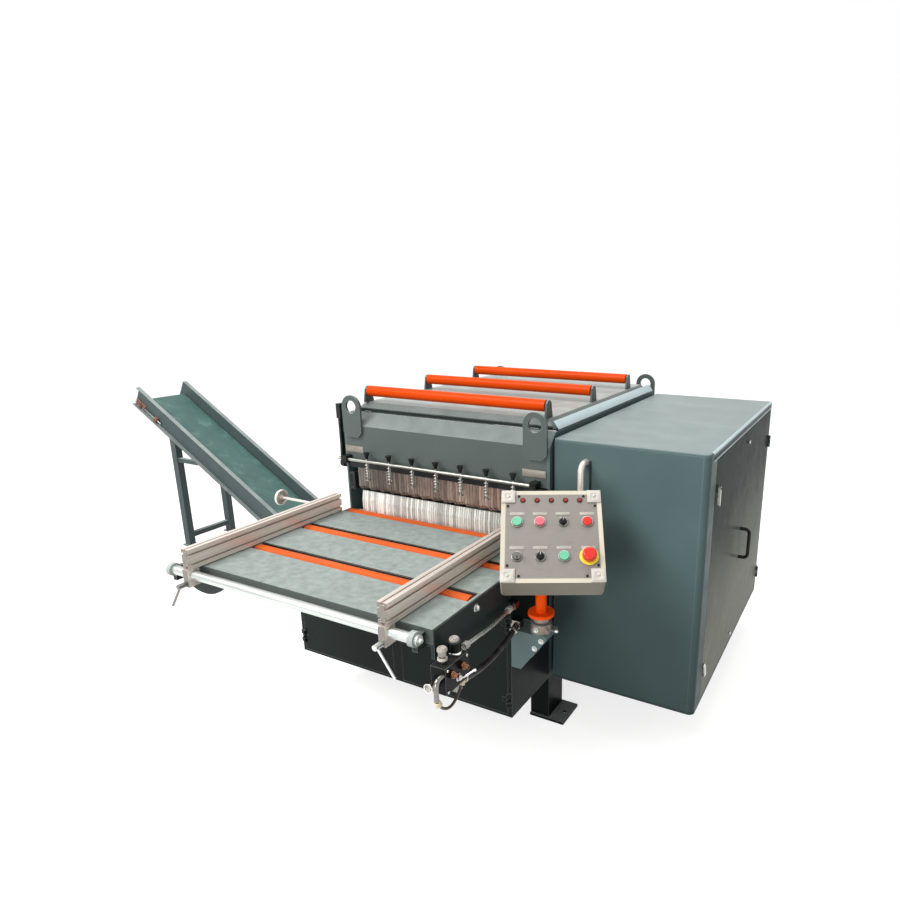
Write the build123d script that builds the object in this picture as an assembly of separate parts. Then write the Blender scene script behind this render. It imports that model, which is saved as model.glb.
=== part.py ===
import math
import os

from build123d import *

# Double edging saw. Millimetres, +Z up, +X along the rollers to the right, +Y the feed direction.
# The origin lies on the floor, midway between the four floor anchors.

# Saw body
body_half = 540.0
body_depth = 1340.0
base_height = 210.0
wall = 8.0
sheet = 5.0
hood_front = 168.0
shoulder_slope = 55.0
throat_opening = 237.0
lid_ledge = 18.0
lid_rest_half = 20.0
lid_rest_inset = 80.0
lid_rest_depth = 15.0
leg_width = 90.0
leg_depth = 137.0
foot_thick = 12.0
foot_reach = 75.0
foot_margin = 10.0
low_wall_drop = 7.0
anchor_hole_r = 9.0
anchor_outset = 45.0
running_fit = 0.05
play = 0.3
through = 1.0
cross_tube = 60.0
cross_tube_inset = 220.0
body_front = -body_depth / 2
body_rear = body_depth / 2
inner_half = body_half - wall
anchor_x = body_half + anchor_outset
anchor_y = body_rear - leg_depth / 2

# Infeed table
table_height = 838.0
table_reach = 812.0
plate_thick = 6.0
lip_height = 53.0
apron_thick = 12.0
apron_front_height = 102.0
apron_rear_height = 172.0
apron_box_gap = 4.0
roller_r = 38.0
roller_wall = 5.0
roller_end = 15.0
roller_proud = 2.0
roller_slot = 35.0
roller_side_gap = 8.0
table_tube_width = 40.0
table_tube_height = 60.0
roller_journal_r = 12.5
roller_journal_gap = 2.0
roller_last_offset = 30.0
roller_pitch = 267.0
table_front = body_front - table_reach
roller_z = table_height + roller_proud - roller_r
roller_ys = [body_front - roller_last_offset - roller_pitch * i for i in (2, 1, 0)]
apron_inner = body_half - apron_thick
roller_half = apron_inner - roller_side_gap
throat_top = table_height + throat_opening
shoulder_height = throat_top + hood_front
body_top = shoulder_height + shoulder_slope

# Front box under the table
box_overhang = 50.0
box_left = -body_half - box_overhang
box_right = body_half
box_reach = 326.0
box_bottom = 213.0
box_drop = 86.0
box_sheet = 4.0
door_strip = 17.0
door_post_half = 23.0
door_gap = 2.0
door_thick = 16.0
door_sheet = 3.0
door_low = 225.0
door_drop = 62.0
door_hinge_low = 65.0
door_hinge_high = 70.0
box_front = body_front - box_reach
box_top = table_height - box_drop
door_high = box_top - door_drop
box_middle = (box_left + box_right) / 2

# Hinges of the doors
hinge_r = 6.0
hinge_pin_r = 3.0
hinge_length = 60.0
hinge_leaf = 3.0
hinge_fixed_leaf = 14.0
hinge_moving_leaf = 26.0
hinge_split = 0.3

# Front bar and fences
bar_r = 17.5
bar_ahead = 43.0
bar_drop = 20.0
bar_overhang = 130.0
bar_inset = 18.0
bar_ring_wall = 8.0
bar_ring_width = 20.0
bar_ring_inset = 10.0
bar_plate_half = 139.5
bar_plate_sag = 71.0
bar_plate_thick = 9.0
bar_plate_gap = 3.0
bar_nut_r = 8.0
bar_nut_length = 10.0
fence_width = 40.0
fence_height = 80.0
fence_clearance = 5.0
fence_front_overhang = 15.0
fence_rear_gap = 70.0
fence_left_overhang = 5.0
fence_right_inset = 145.0
slot_mouth = 8.0
slot_lip = 4.5
slot_pocket = 16.0
slot_pocket_depth = 6.0
clamp_half = 14.0
clamp_wall = 7.5
clamp_screw_r = 6.0
clamp_screw_drop = 30.0
lever_hub_r = 10.0
lever_hub_length = 36.0
lever_rod_r = 5.0
lever_rod_length = 105.0
lever_rod_setback = 25.0
lever_tip_round = 3.0
lever_tilt = 35.0
pad_length = 60.0
pad_half = 15.0
wheel_r = 38.0
wheel_width = 16.0
wheel_rim = 8.0
wheel_round = 5.0
wheel_web = 6.0
wheel_hub_r = 12.0
wheel_hub_proud = 3.0
spindle_r = 6.0
spindle_length = 280.0
spindle_bush = 30.0
spindle_inset = 80.0
bar_y = table_front - bar_ahead
bar_z = table_height - bar_drop
bar_left = -body_half - bar_overhang
bar_right = body_half - bar_inset
fence_left_x = -body_half - fence_left_overhang
fence_right_x = body_half - fence_right_inset
fence_front = bar_y - fence_front_overhang
fence_rear = body_front - fence_rear_gap
fence_bottom = table_height + fence_clearance
fence_mid_z = fence_bottom + fence_height / 2
spindle_y = fence_rear - spindle_inset

# Kick-back fingers, spring rail and lever
finger_axis_inset = 20.0
finger_axis_drop = 22.0
finger_side_gap = 52.0
finger_bar = 26.0
finger_pitch = 15.0
finger_thick = 13.6
finger_drop = 126.0
finger_journal_r = 12.5
lower_axis_inset = 30.0
lower_axis_drop = 32.0
lower_bar = 20.0
lower_pitch = 12.0
lower_thick = 10.0
lower_rise = 116.0
lower_journal_r = 8.0
lever_height = 284.0
lever_width = 25.0
lever_thick = 10.0
lever_hub = 22.0
lever_outset = 30.0
lever_root_half = 17.5
lever_neck = 85.0
lever_boss = 8.0
grip_wall = 6.0
grip_half = 15.0
grip_length = 70.0
bar_end_gap = 7.0
finger_half = 12.0
finger_reach = 20.0
finger_point = 22.0
tip_step = 2.0
tip_sway = 1.5
lower_half = 9.0
lower_shoulder = 72.0
rail_r = 7.0
rail_ahead = 30.0
rail_rise = 11.0
rail_overhang = 16.0
rail_inset = 46.0
rail_block_inset = 25.0
rail_block = 30.0
rail_block_height = 32.0
rod_r = 4.0
rod_inset = 153.0
rod_count = 7
rod_drop = 82.0
rod_collar_r = 11.0
rod_collar = 8.0
cap_low_r = 6.0
cap_high_r = 15.0
cap_height = 30.0
cap_lift = 12.0
spring_mean_r = 9.0
spring_wire_r = 2.0
spring_turns = 5
spring_seat = 1.2

finger_axis_y = body_front + finger_axis_inset
finger_axis_z = throat_top - finger_axis_drop
lower_axis_y = body_front + lower_axis_inset
lower_axis_z = table_height - lower_axis_drop
finger_count = round(2 * (inner_half - finger_side_gap) / finger_pitch)
lower_count = round(2 * (inner_half - finger_side_gap) / lower_pitch)
rail_y = body_front - rail_ahead
rail_z = throat_top + rail_rise
rail_left = -body_half - rail_overhang
rail_right = body_half - rail_inset
rod_pitch = 2 * (body_half - rod_inset) / (rod_count - 1)

# Hood lid, lifting lugs and return rollers
lid_side_inset = 20.0
lid_end_inset = 70.0
lid_gap = 6.0
lid_height = 35.0
lid_sheet = 4.0
lug_inset = 62.0
lug_width = 107.0
lug_thick = 12.0
lug_hole_r = 30.0
lug_hole_rise = 33.0
lug_drop = 53.0
lug_chamfer = 22.0
return_r = 25.0
return_wall = 3.0
return_end = 12.0
return_inset = 72.0
return_axle_r = 7.0
return_lift = 51.0
return_front = 44.0
return_pitch = 470.0
bracket_thick = 8.0
bracket_gap = 5.0
bracket_foot = 32.0
bracket_shoulder = 20.0
bracket_crown = 8.0
bracket_rise = 24.0
lid_hinge_x = 350.0
lid_hinge_r = 9.0
lid_hinge_pin_r = 5.0
lid_hinge_half = 40.0
lid_hinge_outset = 8.0
lid_knuckle = 24.0
lid_ear_half = 7.0
lid_strap_reach = 11.0
lid_strap_lift = 3.0
lid_half_x = body_half - lid_side_inset
lid_half_y = body_rear - lid_end_inset
lug_x = body_half - lug_inset
lug_hole_z = body_top + lug_hole_rise
lug_low = shoulder_height - lug_drop
return_half = body_half - return_inset
return_ys = [-lid_half_y + return_front + return_pitch * i for i in range(3)]
lid_bottom = body_top + lid_gap
lid_top = lid_bottom + lid_height
return_z = lid_top + return_lift

# Side cabinet
cabinet_gap = 12.0
cabinet_width = 618.0
cabinet_setback = 20.0
cabinet_behind = 2.0
cabinet_drop = 18.0
cabinet_pad = 80.0
cabinet_corner = 26.0
cabinet_edge = 10.0
cabinet_sheet = 3.0
cabinet_left = body_half + cabinet_gap
cabinet_right = cabinet_left + cabinet_width
cabinet_front = body_front + cabinet_setback
cabinet_rear = body_rear + cabinet_behind
cabinet_top = body_top - cabinet_drop
side_door_front_inset = 109.0
side_door_rear_inset = 20.0
side_door_sill = 16.0
side_door_drop = 44.0
side_door_gap = 4.0
side_door_thick = 20.0
side_hinge_low = 99.0
side_hinge_high = 165.0
bow_inset = 138.0
bow_length = 320.0
bow_drop = 80.0
bow_stand = 52.0
bow_r = 12.5
bow_bend = 30.0
pull_y = 60.0
pull_rise = 478.0
pull_half = 70.0
pull_stand = 42.0
pull_r = 8.0
pull_bend = 20.0
latch_inset = 31.0
latch_drop = 115.0
latch_pin_r = 5.0
latch_pin_length = 16.0
latch_boss_r = 16.0
latch_boss = 5.0
latch_length = 70.0
latch_width = 18.0
latch_thick = 9.0
side_door_front = cabinet_front + side_door_front_inset
side_door_rear = cabinet_rear - side_door_rear_inset
side_door_low = base_height + side_door_sill
side_door_high = cabinet_top - side_door_drop
side_hinge_zs = [side_door_low + side_hinge_low, side_door_high - side_hinge_high]
bow_x = cabinet_left + bow_inset
bow_high = cabinet_top - bow_drop
bow_low = bow_high - bow_length
pull_mid_z = side_door_low + pull_rise
latch_y = side_door_front + latch_inset
latch_z = side_door_high - latch_drop

# Saw arbor, blades and drive
arbor_y = 0.0
arbor_z = 690.0
arbor_r = 30.0
arbor_left_inset = 200.0
arbor_opening_r = 120.0
blade_r = 225.0
blade_thick = 4.0
blade_teeth = 36
blade_tooth = 14.0
blade_fixed_inset = 210.0
blade_moving_inset = 390.0
blade_bevel = 4.0
hub_r = 55.0
hub_length = 60.0
hub_groove = 12.0
hub_groove_depth = 10.0
bearing_left_inset = 240.0
bearing_right_inset = 70.0
bearing_base = 25.0
bearing_width = 60.0
bearing_half = 75.0
beam_low = 520.0
beam_size = 80.0
beam_spread = 290.0
beam_wall = 6.0
collar_length = 25.0
shaft_end = 12.0
pulley_r = 90.0
pulley_groove = 14.0
pulley_pitch = 22.0
pulley_grooves = 3
pulley_gap = 28.0
groove_top_half = 8.0
groove_root_half = 5.0
belt_half = 4.0
belt_height = 9.0
motor_drop = 250.0
motor_r = 130.0
motor_length = 380.0
motor_shaft_r = 19.0
shaft_depth = 55.0
motor_gap = 30.0
motor_end_step = 18.0
motor_nose = 22.0
motor_tail = 90.0
fin_count = 20
fin_height = 20.0
fin_half = 3.0
motor_foot_half = 130.0
motor_foot_thick = 22.0
motor_foot_length = 50.0
motor_rib_half = 100.0
motor_rib = 30.0
terminal_half = 60.0
terminal_rise = 50.0
belt_play = 0.4
fork_y = 215.0
fork_z = 665.0
fork_rod_r = 14.0
fork_play = 0.6
fork_eye = 22.0
fork_tine = 62.0
fork_mouth = 8.0
fork_throat = 40.0
cylinder_r = 32.0
cylinder_length = 340.0
cylinder_end = 12.0
rod_reach = 330.0
arbor_left = -body_half + arbor_left_inset
blade_fixed_x = body_half - blade_fixed_inset
blade_moving_x = -body_half + blade_moving_inset
bearing_left_x = -body_half + bearing_left_inset
bearing_right_x = body_half - bearing_right_inset

# Control box on its post
panel_size = 365.0
panel_depth = 110.0
panel_yaw = 28.1
panel_tilt = 47.9
panel_outset = 164.0
panel_ahead = 310.0
panel_rise = 172.0
panel_sheet = 3.0
panel_corner = 14.0
face_thick = 4.0
face_margin = 16.0
post_outset = 109.0
post_ahead = 287.0
post_r = 21.0
post_drop = 234.0
flange_r = 50.0
flange_rise = 72.0
flange_thick = 12.0
sleeve_r = 40.0
sleeve_height = 46.0
control_columns = [-124.0, -42.0, 41.0, 128.0]
control_row_high = 52.0
control_row_low = -84.0
button_r = 17.0
button_stem_r = 13.0
button_seat = 6.0
button_height = 12.0
button_hole_r = 13.3
control_depth = 20.0
button_round = 2.0
selector_base = 6.0
selector_grip = 16.0
selector_grip_width = 7.0
key_base = 8.0
key_blade = 22.0
key_blade_width = 10.0
key_bow_r = 9.0
key_thick = 2.5
knob_round = 8.0
selector_r = 13.0
knob_r = 25.0
knob_height = 22.0
knob_neck_r = 13.0
knob_neck = 10.0
lamp_r = 7.0
lamp_pitch = 52.0
lamp_row = 142.0
lamp_height = 5.0
lamp_count = 5
bracket_plate = 8.0
bracket_height = 160.0
bracket_ahead = 38.0
bracket_behind = 62.0
bracket_shelf = 10.0
bracket_toe = 40.0
bracket_bolt_r = 9.0
bracket_bolt_head = 8.0
panel_centre = (body_half + panel_outset, body_front - panel_ahead, table_height + panel_rise)
post_low = table_height - post_drop
flange_z = post_low + flange_rise
sleeve_top = post_low + sleeve_height
post_x = body_half + post_outset
post_y = body_front - post_ahead

# Valve unit and hoses on the right apron
valve_gap = 14.0
valve_depth = 56.0
valve_length = 124.0
valve_ahead = 37.0
valve_drop = 100.0
valve_height = 92.0
valve_arm = 60.0
valve_arm_margin = 16.0
valve_arm_lap = 50.0
bowl_r = 21.0
bowl_height = 46.0
bowl_inset = 32.0
tap_inset = 26.0
tap_stem_r = 9.0
tap_stem = 30.0
tap_knob_r = 13.0
tap_knob = 14.0
gauge_r = 16.0
gauge_depth = 20.0
gauge_stem_r = 7.0
gauge_stem = 14.0
gauge_inset = 16.0
gauge_rise = 36.0
elbow_pipe_r = 8.0
elbow_pipe_bend = 22.0
elbow_pipe_rise = 70.0
elbow_pipe_inset = 46.0
hose_thin_r = 8.0
hose_thick_r = 11.0
hose_loop_r = 4.8
hose_nipple = 26.0
hose_thin_runs = [70.0, 84.0, 84.0, 70.0]
hose_thick_runs = [60.0, 80.0, 84.0, 80.0, 60.0]
hose_loop_runs = [34.0, 54.0, 54.0, 34.0]
loop_nipple = 14.0
nipple_wall = 1.5
elbow_wall = 4.0
elbow_ahead = 8.0
elbow_behind = 22.0
port_r = 12.0
port_length = 20.0
thin_port_x = 12.0
thin_port_z = 74.0
thick_port_x = 16.0
thick_port_drop = 36.0
thick_port_half = 15.0
loop_ahead = 30.0
loop_drop = 12.0
valve_x0 = body_half + valve_gap
valve_x1 = valve_x0 + valve_depth
valve_mid = valve_x0 + valve_depth / 2
valve_front = table_front - valve_ahead
valve_rear = valve_front + valve_length
valve_high = table_height - valve_drop
valve_low = valve_high - valve_height

# Waste conveyor
conveyor_near = -50.0
conveyor_far = 355.0
conveyor_low = 20.0
conveyor_height = 145.0
conveyor_angle = 30.7
conveyor_tail = 260.0
conveyor_knee = -1473.0
conveyor_head = -3202.0
channel_web = 4.0
channel_flange = 30.0
drum_r = 28.0
drum_shaft_r = 10.0
drum_inset = 60.0
drum_side_gap = 4.0
shaft_inset = 6.0
belt_thick = 4.0
belt_edge_gap = 6.0
stand_x = -2805.0
stand_tube = 50.0
stand_foot = 8.0
stand_foot_margin = 20.0
brace_z = 650.0
brace_size = 30.0
brace_reach = 210.0
tie_z = 78.0
tie_half = 18.0
bed_shares = [0.15, 0.4, 0.65, 0.88]
bed_half = 20.0
bed_thick = 12.0
conveyor_foot_half = 40.0
conveyor_feet = [120.0, 773.0, 1603.0]


def block(x0, x1, y0, y1, z0, z1):
    middle = Pos((x0 + x1) / 2, (y0 + y1) / 2, (z0 + z1) / 2)
    return middle * Box(x1 - x0, y1 - y0, z1 - z0)


def rod_x(x0, x1, y, z, r):
    return Pos((x0 + x1) / 2, y, z) * Rot(0, 90, 0) * Cylinder(r, x1 - x0)


def rod_y(y0, y1, x, z, r):
    return Pos(x, (y0 + y1) / 2, z) * Rot(90, 0, 0) * Cylinder(r, y1 - y0)


def rod_z(z0, z1, x, y, r):
    return Pos(x, y, (z0 + z1) / 2) * Cylinder(r, z1 - z0)


def slab_yz(points, x0, x1):
    outline = Polyline(*[(x0, y, z) for y, z in points], close=True)
    return extrude(make_face(outline), x1 - x0, dir=(1, 0, 0))


def slab_xz(points, y0, y1):
    outline = Polyline(*[(x, y0, z) for x, z in points], close=True)
    return extrude(make_face(outline), y1 - y0, dir=(0, 1, 0))


def tube_x(x0, x1, y0, y1, z0, z1, t):
    bore = block(x0 - through, x1 + through, y0 + t, y1 - t, z0 + t, z1 - t)
    return block(x0, x1, y0, y1, z0, z1) - bore


def bow(points, r, bend):
    path = FilletPolyline(*points, radius=bend)
    start = Plane(origin=path @ 0, z_dir=path % 0)
    return sweep(start * Circle(r), path=path)


def hinge(mirrored):
    """Butt hinge round the local Z axis on the plane y = 0, its fixed leaf toward -X."""
    third = hinge_length / 3
    side = -1 if mirrored else 1
    fixed = rod_z(-hinge_length / 2, hinge_length / 2, 0, -hinge_r, hinge_pin_r)
    for z in (-third, third):
        low = z - third / 2
        high = z + third / 2
        fixed += rod_z(low, high, 0, -hinge_r, hinge_r)
        leaf = sorted((0.0, -side * (hinge_fixed_leaf + hinge_r)))
        fixed += block(leaf[0], leaf[1], -hinge_leaf, 0, low, high)
    low = -third / 2 + hinge_split
    leaf = sorted((0.0, side * hinge_moving_leaf))
    moving = rod_z(low, -low, 0, -hinge_r, hinge_r) + block(leaf[0], leaf[1], -hinge_leaf, 0, low, -low)
    moving -= rod_z(low - 1, 1 - low, 0, -hinge_r, hinge_pin_r + running_fit)
    return fixed, moving


# Welded frame: side walls, lower front and rear walls, saw beams, legs and feet
def make_main_frame():
    outline = [
        (body_front, base_height),
        (body_rear, base_height),
        (body_rear, shoulder_height),
        (body_rear - shoulder_slope, body_top),
        (body_front + shoulder_slope, body_top),
        (body_front, shoulder_height),
    ]
    frame = slab_yz(outline, -body_half, -inner_half) + slab_yz(outline, inner_half, body_half)
    frame -= rod_x(inner_half - through, body_half + through, arbor_y, arbor_z, arbor_opening_r)
    for side in (-1, 1):
        x0, x1 = sorted((side * (inner_half - through), side * (body_half + through)))
        frame -= rod_x(x0, x1, finger_axis_y, finger_axis_z, finger_journal_r + running_fit)
        frame -= rod_x(x0, x1, lower_axis_y, lower_axis_z, lower_journal_r + running_fit)
    low_wall = box_top - low_wall_drop
    frame += block(-inner_half, inner_half, body_front, body_front + sheet, base_height, low_wall)
    frame += block(-inner_half, inner_half, body_rear - sheet, body_rear, base_height, table_height)
    for y in (arbor_y - beam_spread, arbor_y + beam_spread):
        y0 = y - beam_size / 2
        beam_high = beam_low + beam_size
        frame += tube_x(-inner_half, inner_half, y0, y0 + beam_size, beam_low, beam_high, beam_wall)
    for sx in (-1, 1):
        for sy in (-1, 1):
            x0, x1 = sorted((sx * (body_half - leg_width), sx * body_half))
            y0, y1 = sorted((sy * (body_rear - leg_depth), sy * body_rear))
            frame += block(x0, x1, y0, y1, foot_thick, base_height + wall)
            f0, f1 = sorted((sx * (body_half - leg_width), sx * (body_half + foot_reach)))
            foot = block(f0, f1, y0 - foot_margin, y1 + foot_margin, 0, foot_thick)
            foot -= rod_z(-through, foot_thick + through, sx * anchor_x, sy * anchor_y, anchor_hole_r)
            frame += foot
    half = cross_tube / 2
    low = base_height - cross_tube
    for y in (cabinet_front + cross_tube_inset, cabinet_rear - cross_tube_inset):
        x1 = cabinet_right - cross_tube
        frame += tube_x(-body_half, x1, y - half, y + half, low, base_height, beam_wall)
    return frame


# Folded hood sheets with the four lifting lugs and the lid's rear hinge
def make_hood_shell():
    bend = sheet * math.tan(math.pi / 8)
    top_in = body_front + shoulder_slope
    profile = [
        (body_front, throat_top),
        (body_front, shoulder_height),
        (top_in, body_top),
        (top_in + lid_ledge, body_top),
        (top_in + lid_ledge, body_top - sheet),
        (top_in + bend, body_top - sheet),
        (body_front + sheet, shoulder_height - bend),
        (body_front + sheet, throat_top),
    ]
    front = slab_yz(profile, -inner_half, inner_half)
    for x in (-lug_x, lug_x):
        front += make_lug(x)
    rear = mirror(front, about=Plane.XZ)
    rest = lid_half_x - lid_rest_inset
    rest_y = top_in + lid_ledge
    for x in (-rest, rest):
        x0 = x - lid_rest_half
        x1 = x + lid_rest_half
        front += block(x0, x1, rest_y - lid_rest_depth, rest_y, body_top, lid_bottom - play)
    hinge_y = lid_half_y + lid_hinge_outset
    pin_z = lid_bottom + lid_hinge_r
    for x in (-lid_hinge_x, lid_hinge_x):
        rear += rod_x(x - lid_hinge_half, x + lid_hinge_half, hinge_y, pin_z, lid_hinge_pin_r)
        for side in (-1, 1):
            x0, x1 = sorted((x + side * lid_hinge_half, x + side * (lid_hinge_half - lid_knuckle)))
            rear += rod_x(x0, x1, hinge_y, pin_z, lid_hinge_r)
            rear += block(x0, x1, hinge_y - lid_ear_half, hinge_y + lid_ear_half, body_top, pin_z)
    return Compound(children=[front, rear])


def make_lug(x):
    half = lug_width / 2
    y0 = body_front - lug_thick
    outline = [
        (x - half, lug_hole_z),
        (x + half, lug_hole_z),
        (x + half, lug_low + lug_chamfer),
        (x + half - lug_chamfer, lug_low),
        (x - half + lug_chamfer, lug_low),
        (x - half, lug_low + lug_chamfer),
    ]
    lug = slab_xz(outline, y0, body_front) + rod_y(y0, body_front, x, lug_hole_z, half)
    return lug - rod_y(y0 - through, body_front + through, x, lug_hole_z, lug_hole_r)


# Hood lid: a tray with sloping edges, the roller brackets and their axles
def make_hood_lid():
    face = Pos(0, 0, lid_bottom) * Rectangle(2 * lid_half_x, 2 * lid_half_y)
    tray = extrude(face, lid_height, taper=45)
    lid = tray - Pos(0, 0, -lid_sheet * math.sqrt(2)) * tray
    inner = return_half + bracket_gap
    for y in return_ys:
        outline = [
            (y - bracket_foot, lid_top),
            (y + bracket_foot, lid_top),
            (y + bracket_shoulder, return_z + bracket_rise / 2),
            (y + bracket_crown, return_z + bracket_rise),
            (y - bracket_crown, return_z + bracket_rise),
            (y - bracket_shoulder, return_z + bracket_rise / 2),
        ]
        for x in (-inner - bracket_thick, inner):
            lid += slab_yz(outline, x, x + bracket_thick)
        lid += rod_x(-inner, inner, y, return_z, return_axle_r)
    hinge_y = lid_half_y + lid_hinge_outset
    half = lid_hinge_half - lid_knuckle - through
    pin_z = lid_bottom + lid_hinge_r
    bore_r = lid_hinge_pin_r + running_fit
    for x in (-lid_hinge_x, lid_hinge_x):
        lid += rod_x(x - half, x + half, hinge_y, pin_z, lid_hinge_r)
        strap_y = lid_half_y - lid_strap_reach
        lid += block(x - half, x + half, strap_y, hinge_y, lid_bottom + lid_strap_lift, pin_z)
        lid -= rod_x(x - half - through, x + half + through, hinge_y, pin_z, bore_r)
    return lid


def make_return_roller(y):
    inner = return_half - return_end
    far = return_half + through
    roller = rod_x(-return_half, return_half, y, return_z, return_r)
    roller -= rod_x(-inner, inner, y, return_z, return_r - return_wall)
    return roller - rod_x(-far, far, y, return_z, return_axle_r + running_fit)


# Front box with its two door openings and the fixed hinge leaves
def door_spans():
    left = (box_left + door_strip, box_middle - door_post_half)
    right = (box_middle + door_post_half, box_right - door_strip)
    return left, right


def door_hinges(low, high):
    return low + door_hinge_low, high - door_hinge_high


def make_front_box():
    t = box_sheet
    box = block(box_left, box_right, box_front, body_front, box_bottom, box_top)
    inside_y = body_front + through
    box -= block(box_left + t, box_right - t, box_front + t, inside_y, box_bottom + t, box_top - t)
    y0 = box_front - through
    y1 = box_front + t + through
    for x0, x1 in door_spans():
        box -= block(x0, x1, y0, y1, door_low - door_gap, door_high + door_gap)
    left, right = door_spans()
    for x, mirrored in ((left[0], False), (right[1], True)):
        for z in door_hinges(door_low, door_high):
            box += Pos(x, box_front, z) * hinge(mirrored)[0]
    return box


def make_front_door(span, mirrored):
    x0 = span[0] + door_gap
    x1 = span[1] - door_gap
    s = door_sheet
    door = block(x0, x1, box_front, box_front + door_thick, door_low, door_high)
    y1 = box_front + door_thick + through
    door -= block(x0 + s, x1 - s, box_front + s, y1, door_low + s, door_high - s)
    x = span[1] if mirrored else span[0]
    for z in door_hinges(door_low, door_high):
        door += Pos(x, box_front, z) * hinge(mirrored)[1]
    return door


# Infeed table: apron plates, cross tubes and the brackets that carry the front bar
def make_table_frame():
    top = table_height - plate_thick
    front = table_front + plate_thick
    frame = make_apron(-body_half, front, top, apron_front_height)
    frame += make_apron(apron_inner, front, top, apron_rear_height)
    far = body_half + through
    for y in roller_ys:
        frame -= rod_x(-far, far, y, roller_z, roller_journal_r + running_fit)
    tubes = [front]
    for a, b in zip(roller_ys, roller_ys[1:]):
        tubes.append((a + b - table_tube_width) / 2)
    low = top - table_tube_height
    for y in tubes:
        frame += tube_x(-apron_inner, apron_inner, y, y + table_tube_width, low, top, plate_thick)
    ring_left = bar_left + bar_ring_inset
    ring_right = bar_right - bar_ring_inset
    frame += block(ring_left, -body_half, front, front + table_tube_width, low, top)
    frame += make_left_bar_plate(front, low)
    frame += make_bar_ring(ring_left, ring_left + bar_ring_width, front, low)
    frame += make_bar_ring(ring_right - bar_ring_width, ring_right, front, low)
    return frame


def make_apron(x0, front, top, rear_height):
    outline = [
        (front, top),
        (body_front, top),
        (body_front, box_top),
        (box_front - apron_box_gap, box_top),
        (box_front - apron_box_gap, top - rear_height),
        (front, top - apron_front_height),
    ]
    return slab_yz(outline, x0, x0 + apron_thick)


# Half-round plate behind the bar's left end, hung from the front tube
def make_left_bar_plate(front, low):
    radius = (bar_plate_half**2 + bar_plate_sag**2) / (2 * bar_plate_sag)
    middle = bar_left + bar_plate_gap + bar_plate_half
    base = bar_z - bar_r - bar_plate_sag
    y1 = table_front - bar_plate_gap
    y0 = y1 - bar_plate_thick
    x0 = middle - bar_plate_half
    x1 = middle + bar_plate_half
    plate = rod_y(y0, y1, middle, base + radius, radius)
    plate &= block(x0, x1, y0 - through, table_front, base - through, base + bar_plate_sag)
    hanger = bar_plate_half / 2
    high = table_height - lip_height - through
    return plate + block(middle - hanger, middle + hanger, y1, front, low, high)


def make_bar_ring(x0, x1, front, low):
    arm = block(x0, x1, bar_y, front, low, table_height - lip_height - through)
    arm += block(x0, x1, bar_y, table_front, low, bar_z + bar_ring_wall)
    arm += rod_x(x0, x1, bar_y, bar_z, bar_r + bar_ring_wall)
    return arm - rod_x(x0 - through, x1 + through, bar_y, bar_z, bar_r)


def make_table_plates():
    low = table_height - plate_thick
    edges = [table_front]
    for y in roller_ys:
        edges += [y - roller_slot, y + roller_slot]
    plates = []
    for y0, y1 in zip(edges[0:-1:2], edges[1::2]):
        plates.append(block(-body_half, body_half, y0, y1, low, table_height))
    lip_low = table_height - lip_height
    plates[0] += block(-body_half, body_half, table_front, table_front + plate_thick, lip_low, table_height)
    return Compound(children=plates)


def make_infeed_roller(y):
    roller = rod_x(-roller_half, roller_half, y, roller_z, roller_r)
    inner = roller_half - roller_end
    roller -= rod_x(-inner, inner, y, roller_z, roller_r - roller_wall)
    for side in (-1, 1):
        x0, x1 = sorted((side * roller_half, side * (body_half - roller_journal_gap)))
        roller += rod_x(x0, x1, y, roller_z, roller_journal_r)
    return roller


def make_front_bar():
    bar = rod_x(bar_left, bar_right, bar_y, bar_z, bar_r)
    return bar + rod_x(bar_right, bar_right + bar_nut_length, bar_y, bar_z, bar_nut_r)


# Slotted fence rail with its clamp block on the bar, rear glide pad and, on the left, the spindle bush
def make_fence(x, with_bush):
    profile = Rectangle(fence_width, fence_height)
    cut = slot_lip + slot_pocket_depth
    for side in (-1, 1):
        for z in (-fence_height / 4, fence_height / 4):
            edge = side * fence_width / 2
            profile -= Pos(edge - side * cut / 2, z) * Rectangle(cut, slot_mouth)
            pocket = edge - side * (slot_lip + slot_pocket_depth / 2)
            profile -= Pos(pocket, z) * Rectangle(slot_pocket_depth, slot_pocket)
        edge = side * fence_height / 2
        profile -= Pos(0, edge - side * cut / 2) * Rectangle(slot_mouth, cut)
        pocket = edge - side * (slot_lip + slot_pocket_depth / 2)
        profile -= Pos(0, pocket) * Rectangle(slot_pocket, slot_pocket_depth)
    place = Plane(origin=(x, fence_front, fence_mid_z), x_dir=(1, 0, 0), z_dir=(0, -1, 0))
    rail = extrude(place * profile, fence_rear - fence_front, dir=(0, 1, 0))
    screw_z = bar_z - clamp_screw_drop
    low = screw_z - clamp_screw_r - clamp_wall
    y0 = bar_y - bar_r - clamp_wall
    y1 = bar_y + bar_r + clamp_wall
    far = clamp_half + through
    clamp = block(x - clamp_half, x + clamp_half, y0, y1, low, fence_bottom)
    clamp -= rod_x(x - far, x + far, bar_y, bar_z, bar_r + running_fit)
    clamp -= rod_y(y0 - through, y1 + through, x, screw_z, clamp_screw_r + running_fit)
    pad_low = table_height + play
    pad = block(x - pad_half, x + pad_half, fence_rear - pad_length, fence_rear, pad_low, fence_bottom)
    pieces = [rail, clamp, pad]
    if with_bush:
        face = x - fence_width / 2
        y = spindle_y
        z = fence_mid_z
        half = spindle_bush / 2
        bush = block(face - spindle_bush, face, y - half, y + half, z - half, z + half)
        bore = rod_x(face - spindle_bush - through, face + through, y, z, spindle_r + running_fit)
        pieces.append(bush - bore)
    return Compound(children=pieces)


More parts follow.
